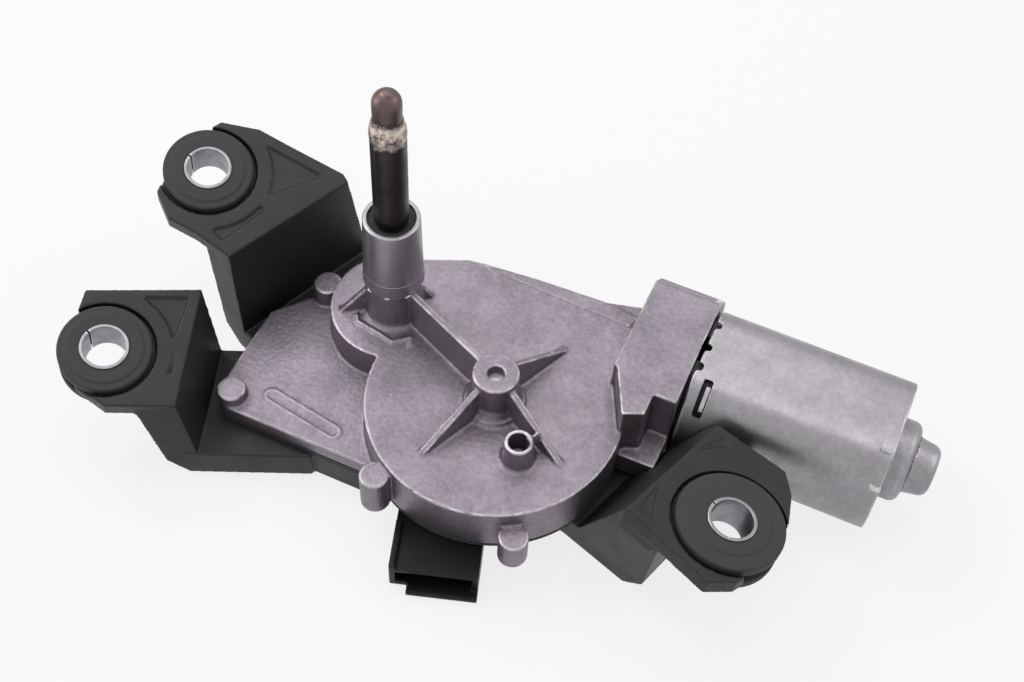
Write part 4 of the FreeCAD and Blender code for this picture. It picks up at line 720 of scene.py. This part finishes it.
@dataclass
class Casting:
    """The gear housing with its neck, ribs, bosses and the low bare frame on the flange."""

    cell: float = 0.42
    passes: int = 3
    keep: float = 0.4
    dome_top: float = 27.0
    wheel_centre: tuple[float, float] = (40.5, -18.0)
    neck_foot: float = 8.6
    boss_foot: float = 8.6
    peg: tuple[float, float] = (54.0, -32.3)
    peg_foot: float = 4.7
    flash_path: tuple[tuple[float, float], ...] = (
        (-13.6, -8.9), (-9.2, -6.9), (-7.0, -10.2), (0.2, -11.4), (5.3, -12.4), (9.6, -8.6))
    back_strip: tuple[tuple[float, float], ...] = (
        (22.6, 22.2), (24.0, 23.8), (43.0, 23.1), (65.5, 22.4), (67.0, 26.2), (56.0, 27.8), (33.9, 26.8),
        (16.0, 25.0))
    strip_height: float = 0.5
    ridge_section: tuple[tuple[float, float], ...] = (
        (-0.5, -1.0), (0.5, -1.0), (0.5, 0.3), (0.25, 1.0), (-0.25, 1.0), (-0.5, 0.3))
    frame_centre: tuple[float, float, float] = (-10.3, -39.4, 16.0)
    frame_turn: float = -9.0
    frame_size: tuple[float, float] = (26.5, 4.4)
    frame_line: float = 0.5
    frame_height: float = 0.16

    def build(self) -> None:
        """Builds the casting and the frame on its flange."""
        extras = [
            self.foot_ring("neck_foot", (0.0, 0.0), self.neck_foot, 1.6),
            self.foot_ring("boss_foot", self.wheel_centre, self.boss_foot, 1.3),
            self.foot_ring("peg_foot", self.peg, self.peg_foot, 0.9),
            self.ridge("neck_flash", self.flash_path, self.dome_top, 0.9, 0.55),
            self.ridge("peg_web", ((55.6, -30.4), (57.6, -26.4)), self.dome_top + 5.4, 1.2, 2.4),
            self.back_rim(),
        ]
        shell = softened("gear_housing", "gear_housing_cast", self.cell, self.passes, self.keep, extras)
        finish_piece(shell, CAST, Body.CASING, ["gear_housing"])
        finish_piece(self.low_frame(), SHADED_FRAME_LINE, Body.CASING)

    def foot_ring(self, name: str, at: tuple[float, float], radius: float, size: float) -> bpy.types.Object:
        """Builds the fillet around the foot of a round boss on the dome.

        Args:
            name: Name of the scratch shape.
            at: The boss's centre.
            radius: The boss's radius at its foot.
            size: Radius of the fillet.

        Returns:
            The closed ring.
        """
        low = self.dome_top - 0.6
        arc = [(radius + size - size * math.sin(angle), self.dome_top + size - size * math.cos(angle))
               for angle in (math.pi / 2 * step / 5 for step in range(6))]
        inner, outer = radius - 1.2, radius + size + 0.3
        ring = lathe(name, [(inner, low), (outer, low), (outer, self.dome_top), *arc,
                            (inner, self.dome_top + size)], 64)
        ring.data.transform(Matrix.Translation(Vector((*at, 0.0)) * MM))
        return ring

    def ridge(self, name: str, path: tuple[tuple[float, float], ...], base: float, width: float,
              height: float) -> bpy.types.Object:
        """Builds a low rounded ridge along a path.

        Args:
            name: Name of the scratch shape.
            path: Corners of its middle line.
            base: Height that it stands on.
            width: Its width.
            height: Its height.

        Returns:
            The closed ridge.
        """
        shape = bmesh.new()
        rings = []
        points = [Vector((x, y, base)) for x, y in path]
        for index, point in enumerate(points):
            ahead = points[min(index + 1, len(points) - 1)] - points[max(index - 1, 0)]
            across = Vector((-ahead.y, ahead.x, 0)).normalized()
            rings.append([
                shape.verts.new((point + across * width * side + Vector((0, 0, height * rise))) * MM)
                for side, rise in self.ridge_section])
        for left, right in zip(rings, rings[1:]):
            join_rings(shape, left, right)
        shape.faces.new(rings[0])
        shape.faces.new(rings[-1])
        return from_bmesh(name, shape)

    def back_rim(self) -> bpy.types.Object:
        """Builds the low raised strip along the plate's back edge."""
        shape = bmesh.new()
        prism(shape, list(self.back_strip), self.dome_top - 0.8, self.dome_top + self.strip_height)
        return from_bmesh("back_strip", shape)

    def low_frame(self) -> bpy.types.Object:
        """Builds the thin raised frame, bare inside."""
        half = self.frame_size[1] / 2
        reach = self.frame_size[0] / 2 - half
        path = []
        for side, middle in ((1, 0.0), (-1, math.pi)):
            for step in range(13):
                angle = middle - math.pi / 2 + math.pi * step / 12
                path.append(Vector((side * reach + half * math.cos(angle), half * math.sin(angle), 0)))
        shape = bmesh.new()
        rings = []
        centre_turn = Matrix.Rotation(math.radians(self.frame_turn), 4, "Z")
        for index, point in enumerate(path):
            along = path[(index + 1) % len(path)] - path[index - 1]
            out = Vector((along.y, -along.x, 0)).normalized()
            ring = []
            for share, height in ((-0.5, -2.0), (-0.35, 1.0), (0.35, 1.0), (0.5, -2.0)):
                spot = centre_turn @ (point + out * self.frame_line * share)
                spot = spot + Vector(self.frame_centre) + Vector((0, 0, height * self.frame_height))
                ring.append(shape.verts.new(spot * MM))
            rings.append(ring)
        for index, ring in enumerate(rings):
            join_rings(shape, ring, rings[(index + 1) % len(rings)])
        return from_bmesh("flange_low_frame", shape)


@dataclass
class Pivot:
    """The sleeve around the output shaft, its seal and the shaft itself."""

    foot: float = 41.0
    top: float = 67.0
    foot_radius: float = 8.9
    ring_radius: float = 8.62
    top_radius: float = 8.1
    bore: float = 6.2
    seat: float = 6.8
    seat_depth: float = 4.5
    shaft_radius: float = 5.2
    free_radius: float = 4.9
    tip_radius: float = 3.95
    tip_top: float = 115.0
    stakes: RingRepeat = field(default_factory=lambda: RingRepeat("stake_marks", 9, 8.6, -116.0, 40.0))

    def build(self) -> None:
        """Builds sleeve, stake marks and shaft."""
        finish_piece(self.sleeve(), MACHINED, Body.CASING, ["pivot_sleeve"])
        finish_piece(self.stake_marks(), MACHINED, Body.CASING)
        finish_piece(self.shaft(), SHAFT, Body.OUTPUT, ["output_shaft"])

    def sleeve(self) -> bpy.types.Object:
        """Builds the tapered sleeve with its faint ring and rounded mouth."""
        seat_low = self.top - self.seat_depth
        points = [(self.bore, self.foot), (self.foot_radius, self.foot), (8.72, self.foot + 4.6),
                  (8.72, self.foot + 5.0), (self.ring_radius, self.foot + 5.2), (self.top_radius, self.top),
                  (self.seat, self.top), (self.seat, seat_low), (self.bore, seat_low)]
        radii = [0.0, 0.35, 0.1, 0.1, 0.2, 0.75, 0.25, 0.2, 0.0]
        return lathe("pivot_sleeve_turned", rounded(points, radii, closed=True), 128)

    def stake_marks(self) -> bpy.types.Object:
        """Builds the small stakes that hold the sleeve in the neck."""
        shape = bmesh.new()
        bmesh.ops.create_uvsphere(shape, u_segments=14, v_segments=8, radius=0.75 * MM)
        bmesh.ops.scale(shape, verts=shape.verts, vec=(0.8, 1.4, 0.9))
        unit = from_bmesh("sleeve_stakes", shape)
        return self.stakes.make(unit, MACHINED, Matrix.Translation(Vector((0, 0, self.foot * MM))))

    def shaft(self) -> bpy.types.Object:
        """Builds the shaft with its plain end, taper and round tip."""
        points = [(0.0, 2.8), (self.shaft_radius, 2.8), (self.shaft_radius, 66.0), (4.6, 66.0), (4.6, 67.2),
                  (self.free_radius, 67.2), (self.free_radius, 98.5), (5.05, 101.5), (4.7, 103.4),
                  (3.85, 106.3), (self.tip_radius, 108.4)]
        radii = [0.0, 0.4, 0.1, 0.1, 0.1, 0.2, 1.5, 1.4, 1.0, 1.4, 0.0]
        middle = self.tip_top - self.tip_radius
        cap = [(self.tip_radius * math.cos(angle), middle + self.tip_radius * math.sin(angle))
               for angle in (math.pi / 2 * step / 12 for step in range(12))]
        return lathe("output_shaft_turned", [*rounded(points, radii, 6), *cap, (0.0, self.tip_top)], 96)


@dataclass
class RubberMount:
    """One rubber grommet in a bracket pad, with its split metal spacer."""

    name: str
    bush_top: tuple[float, float, float]
    slope: tuple[float, float]
    turn: float
    radius: float
    pad_thick: float = 5.5
    seat_depth: float = 2.0
    proud: float = 1.6
    under: float = 3.0
    slot_radius: float = 9.6
    spacer_outer: float = 6.8
    spacer_inner: float = 5.8
    spacer_proud: float = 0.4
    split: float = 0.6
    split_turn: float = 0.0
    hub: float = 10.4
    hub_step: float = 0.45

    def place(self) -> Matrix:
        """Gives the matrix from the pad's own axes to the row frame."""
        up = Vector((*self.slope, 1.0)).normalized()
        outward = Vector((math.cos(math.radians(self.turn)), math.sin(math.radians(self.turn)), 0))
        side = up.cross(outward).normalized()
        outward = side.cross(up)
        matrix = Matrix((outward, side, up)).transposed().to_4x4()
        matrix.translation = (Vector(self.bush_top) - up * self.proud) * MM
        return matrix

    def build(self) -> None:
        """Builds the grommet and the spacer."""
        place = self.place()
        grommet = lathe("grommet_%s_rubber" % self.name, self.grommet_profile(), 96)
        grommet.data.transform(place)
        finish_piece(grommet, RUBBER, Body.CASING, ["grommet_" + self.name])
        low, high = -self.pad_thick - self.under - self.spacer_proud, self.proud + self.spacer_proud
        points = [(self.spacer_inner, low), (self.spacer_outer, low), (self.spacer_outer, high),
                  (self.spacer_inner, high)]
        spacer = lathe("spacer_%s_sleeve" % self.name, rounded(points, [0.3] * 4, 4, closed=True), 96,
                       self.split / self.spacer_outer)
        spacer.data.transform(place @ Matrix.Rotation(math.radians(self.split_turn), 4, "Z"))
        finish_piece(spacer, SPACER, Body.CASING, ["spacer_" + self.name])

    def grommet_profile(self) -> Profile:
        """Outline of the grommet: a proud ring, a waist in the pad's slot and a lower flange."""
        bottom = -self.pad_thick - self.under
        points = [(self.spacer_outer, bottom), (self.radius, bottom), (self.radius, -self.pad_thick),
                  (self.slot_radius, -self.pad_thick), (self.slot_radius, -self.seat_depth),
                  (self.radius, -self.seat_depth), (self.radius, self.proud - self.hub_step),
                  (self.hub + 0.7, self.proud - self.hub_step), (self.hub, self.proud),
                  (self.spacer_outer, self.proud)]
        return rounded(points, [0.3, 1.0, 0.5, 0.3, 0.3, 0.4, 0.8, 0.8, 0.8, 0.3], 5, closed=True)


@dataclass
class Bracket:
    """The black moulded bracket: tray and three arms."""

    cell: float = 0.36
    passes: int = 3
    keep: float = 0.19

    lip: tuple[tuple[float, float], ...] = ((84.6, -7.0), (89.6, -7.0), (89.6, 6.4), (84.6, 6.4))
    lip_low: float = 3.0
    lip_high: float = 9.0

    def build(self) -> None:
        """Builds the bracket with rounded folds and the lip that closes the gap beside the head."""
        piece = softened("mounting_bracket", "mounting_bracket_moulded", self.cell, self.passes, self.keep)
        finish_piece(piece, BLACK, Body.CASING, ["mounting_bracket"])
        shape = bmesh.new()
        prism(shape, list(self.lip), self.lip_low, self.lip_high)
        bmesh.ops.bevel(shape, geom=shape.edges[:], offset=0.4 * MM, segments=3, affect="EDGES")
        finish_piece(from_bmesh("bracket_lip", shape), BLACK, Body.CASING)


@dataclass
class Motor:
    """The drawn steel can with its nose, crimp tabs and the card rim at its mouth."""

    axis_y: float = 18.5
    axis_z: float = 19.0
    radius: float = 22.0
    half_height: float = 18.7
    corner_blend: float = 0.9
    wall: float = 1.8
    mouth: float = 89.5
    end: float = 148.0
    nose_radius: float = 12.0
    nose_end: float = 154.0
    tip_radius: float = 7.6
    tip_end: float = 161.0
    cell: float = 0.42
    passes: int = 3
    keep: float = 0.7
    rim_outer: float = 19.9
    rim_inner: float = 17.6
    rim_start: float = 88.7
    rim_end: float = 98.4

    def build(self) -> None:
        """Builds can, card rim and tabs."""
        can = softened("motor_can", "motor_can_drawn", self.cell, self.passes, self.keep)
        self.make_true(can.data)
        finish_piece(can, ZINC, Body.CASING, ["motor_can"])
        finish_piece(self.card_rim(), CARD, Body.CASING)
        for name, angle, along in (("crimp_tab_upper", 120.5, 145.6), ("crimp_tab_lower", 151.0, 146.4)):
            finish_piece(self.crimp_tab(name, angle, along), BURNISHED, Body.CASING)

    def along_motor(self) -> Matrix:
        """Gives the matrix that lays Z-axis shapes along the motor's axis."""
        return Matrix.Translation(Vector((0.0, self.axis_y, self.axis_z)) * MM) @ Matrix.Rotation(
            math.radians(90.0), 4, "Y")

    def card_rim(self) -> bpy.types.Object:
        """Builds the black rim of the brush card that shows at the can's mouth and through its slot."""
        points = [(self.rim_inner, self.rim_start), (self.rim_outer, self.rim_start),
                  (self.rim_outer, self.rim_end), (self.rim_inner, self.rim_end)]
        rim = lathe("brush_card_rim", rounded(points, [0.3] * 4, 3, closed=True), 96)
        rim.data.transform(self.along_motor())
        shape = bmesh.new()
        shape.from_mesh(rim.data)
        limit = (self.half_height - self.wall - 0.1) * MM
        for point in shape.verts:
            rise = point.co.z - self.axis_z * MM
            point.co.z = self.axis_z * MM + max(-limit, min(limit, rise))
        shape.to_mesh(rim.data)
        shape.free()
        return rim

    def crimp_tab(self, name: str, angle: float, along: float) -> bpy.types.Object:
        """Builds a small folded tab on the can's shoulder.

        Args:
            name: The piece's name.
            angle: Place around the can, from +Y toward +Z.
            along: Place along X.

        Returns:
            The tab.
        """
        shape = bmesh.new()
        bmesh.ops.create_cube(shape, size=1.0)
        bmesh.ops.scale(shape, verts=shape.verts, vec=(3.4 * MM, 2.2 * MM, 1.0 * MM))
        bmesh.ops.bevel(shape, geom=shape.edges[:], offset=0.35 * MM, segments=3, affect="EDGES")
        tab = from_bmesh(name, shape)
        turn = math.radians(angle)
        out = Vector((0.0, math.cos(turn), math.sin(turn)))
        place = Matrix((Vector((1, 0, 0)), out.cross(Vector((1, 0, 0))), out)).transposed().to_4x4()
        centre = Vector((along, self.axis_y, self.axis_z)) + out * (self.radius - 0.25)
        place.translation = centre * MM
        tab.data.transform(place)
        return tab

    def make_true(self, mesh: bpy.types.Mesh) -> None:
        """Moves the outer points onto the can's true section and rounds the nose's corners.

        Args:
            mesh: The can's mesh, changed in place.
        """
        points = np.zeros(len(mesh.vertices) * 3)
        mesh.vertices.foreach_get("co", points)
        points = points.reshape(-1, 3) / MM
        along, across, up = points[:, 0], points[:, 1] - self.axis_y, points[:, 2] - self.axis_z
        distance = np.maximum(np.hypot(across, up), 0.01)
        flat = self.half_height * distance / np.maximum(abs(up), 0.01)
        blend = self.corner_blend
        section = -blend * np.logaddexp(-self.radius / blend, -np.minimum(flat, 60.0) / blend)
        target = distance.copy()
        outer = (distance > np.minimum(flat, self.radius) - 0.6) & (along > self.mouth + 0.5)
        outer &= along < self.end - 0.8
        target[outer] = section[outer]
        shoulder = (distance > np.minimum(flat, self.radius) - 0.9) & (along >= self.end - 0.8)
        target[shoulder] = np.minimum(distance, section)[shoulder]
        for radius, low, high in ((self.nose_radius, self.end + 1.0, self.nose_end - 1.0),
                                  (self.tip_radius, self.nose_end + 0.8, self.tip_end - 1.0)):
            near = (abs(distance - radius) < 0.3) & (along > low) & (along < high)
            target[near] = radius
        for centre_x, centre_r, size in ((self.nose_end - 2.8, self.nose_radius - 2.8, 2.8),
                                         (self.tip_end - 2.6, self.tip_radius - 2.6, 2.6)):
            dx, dr = along - centre_x, target - centre_r
            reach = np.hypot(dx, dr)
            corner = (dx > 0) & (dr > 0) & (reach > size * 0.75)
            share = size / np.maximum(reach, 0.01)
            along[corner] = (centre_x + dx * share)[corner]
            target[corner] = (centre_r + dr * share)[corner]
        slope = np.clip((self.tip_end - 2.0 - along) / (self.tip_end - self.nose_end), 0.0, 1.0)
        skirt = (along > self.nose_end + 0.2) & (target > self.tip_radius - 0.8)
        target[skirt] += 1.1 * slope[skirt]
        share = target / distance
        points[:, 0] = along
        points[:, 1], points[:, 2] = across * share + self.axis_y, up * share + self.axis_z
        mesh.vertices.foreach_set("co", (points * MM).ravel())
        mesh.update()


@dataclass
class Plug:
    """The connector shell under the gear dome's rim."""

    cell: float = 0.32
    passes: int = 2

    def build(self) -> None:
        """Builds the shell with rounded edges."""
        piece = softened("connector_shell", "connector_shell_moulded", self.cell, self.passes)
        finish_piece(piece, SHADED_SHELL, Body.CASING, ["connector_shell"])


@dataclass
class CarriedNodes:
    """CAD nodes that keep their shape and get a better material."""

    own_looks: dict[str, Finish] = field(
        default_factory=lambda: {"wheel_axle": MACHINED, "can_clip": MACHINED})

    def dress(self) -> None:
        """Gives each shown CAD node the finish of its slot."""
        for name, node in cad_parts.items():
            if node.hide_render or not node.data.materials:
                continue
            slot = Slot(node.data.materials[0].name.split(".")[0])
            look = self.own_looks.get(name, FINISH_OF_SLOT[slot])
            for index in range(len(node.data.materials)):
                node.data.materials[index] = look.build()
            LOG.info("%s: %s", name, look.name)


# ---- studio


@dataclass
class Studio:
    """Camera, lamps, floor and white surroundings."""

    camera_at: tuple[float, float, float] = (0.1272, -0.2323, 0.3827)
    camera_right: tuple[float, float, float] = (0.9113, 0.4098, 0.0386)
    camera_ahead: tuple[float, float, float] = (-0.2081, 0.5396, -0.8158)
    lens: float = 52.73
    floor_half: float = 3.0

    def build(self) -> None:
        """Sets up the whole studio."""
        self.camera()
        self.floor()
        self.world()
        self.lamp("overhead", (-0.20, 0.25, 0.85), 1.0, 3.7)
        self.lamp("left_side", (-0.80, -0.35, 0.32), 0.5, 2.5)
        self.lamp("right_back", (0.75, 0.35, 0.55), 0.6, 1.6)
        self.lamp("edge_spark", (-0.42, 0.10, 0.62), 0.12, 0.7)
        settings = bpy.context.scene.view_settings
        settings.view_transform = "Standard"

    def camera(self) -> None:
        """Makes the camera at the photograph's viewpoint."""
        data = bpy.data.cameras.new("studio_camera")
        data.lens = self.lens
        data.sensor_width = 36.0
        data.clip_start, data.clip_end = 0.01, 20.0
        made = bpy.data.objects.new("studio_camera", data)
        bpy.context.scene.collection.objects.link(made)
        ahead = Vector(self.camera_ahead).normalized()
        right = Vector(self.camera_right)
        right = (right - ahead * right.dot(ahead)).normalized()
        matrix = Matrix((right, right.cross(ahead), -ahead)).transposed().to_4x4()
        matrix.translation = Vector(self.camera_at)
        made.matrix_world = matrix
        bpy.context.scene.camera = made

    def lamp(self, name: str, at: tuple[float, float, float], size: float, power: float) -> None:
        """Adds a square soft lamp aimed at the object.

        Args:
            name: The lamp's name.
            at: Its place in metres.
            size: Side of the lamp in metres.
            power: Its power in watts.
        """
        data = bpy.data.lights.new(name, "AREA")
        data.size = size
        data.energy = power
        made = bpy.data.objects.new(name, data)
        bpy.context.scene.collection.objects.link(made)
        made.location = at
        aim = Vector((0.03, -0.01, 0.02)) - Vector(at)
        made.rotation_mode = "QUATERNION"
        made.rotation_quaternion = aim.to_track_quat("-Z", "Y")

    def seen_directly(self, sketch: NodeSketch) -> bpy.types.NodeSocket:
        """Gives 1 for camera, glossy and transmission rays, and 0 for the others."""
        path = sketch.add("ShaderNodeLightPath")
        some = sketch.math("MAXIMUM", path.outputs["Is Camera Ray"], path.outputs["Is Glossy Ray"])
        return sketch.math("MAXIMUM", some, path.outputs["Is Transmission Ray"])

    def floor(self) -> None:
        """Makes the pale floor, white to the camera but for the object's soft shadow."""
        shape = bmesh.new()
        bmesh.ops.create_grid(shape, x_segments=2, y_segments=2, size=self.floor_half)
        floor = from_bmesh("studio_floor", shape)
        floor.location.z = -0.0004
        material = bpy.data.materials.new("studio_floor")
        material.use_nodes = True
        tree = material.node_tree
        sketch = NodeSketch(tree)
        shader = tree.nodes["Principled BSDF"]
        sketch.feed(shader, Base_Color=(0.82, 0.82, 0.82, 1.0), Roughness=0.9)
        glow = sketch.feed(sketch.add("ShaderNodeEmission"), Color=(1.0, 1.0, 1.0, 1.0), Strength=1.0)
        mix = sketch.add("ShaderNodeMixShader")
        share = sketch.math("MULTIPLY", self.seen_directly(sketch), 0.8)
        sketch.feed(mix, _0=share, _1=shader.outputs[0], _2=glow.outputs[0])
        sketch.feed(tree.nodes["Material Output"], Surface=mix.outputs[0])
        floor.data.materials.append(material)

    def world(self) -> None:
        """Makes white surroundings that light the object only softly."""
        world = bpy.data.worlds.new("studio_world")
        world.use_nodes = True
        bpy.context.scene.world = world
        tree = world.node_tree
        sketch = NodeSketch(tree)
        plain = tree.nodes["Background"]
        sketch.feed(plain, Color=(0.93, 0.93, 1.0, 1.0), Strength=0.4)
        white = sketch.feed(sketch.add("ShaderNodeBackground"), Color=(1.0, 1.0, 1.0, 1.0), Strength=1.0)
        mix = sketch.add("ShaderNodeMixShader")
        sketch.feed(mix, _0=self.seen_directly(sketch), _1=plain.outputs[0], _2=white.outputs[0])
        sketch.feed(tree.nodes["World Output"], Surface=mix.outputs[0])


def main() -> None:
    """Builds every piece in order."""
    logging.basicConfig(level=logging.INFO, format="%(message)s")
    build_effects()
    Studio().build()
    assemblies = [
        Casting(),
        Pivot(),
        Bracket(),
        RubberMount("left", (-60.8, -56.4, 40.0), (0.20, -0.12), 204.0, 12.9, split_turn=140.0),
        RubberMount("upper", (-61.2, 2.8, 54.0), (0.20, -0.19), 158.4, 12.9, split_turn=195.0),
        RubberMount("right", (114.7, -31.9, 39.0), (0.11, 0.12), -18.2, 15.0),
        Motor(),
        Plug(),
    ]
    for assembly in assemblies:
        assembly.build()
    CarriedNodes().dress()


if __name__ == "__main__":
    main()
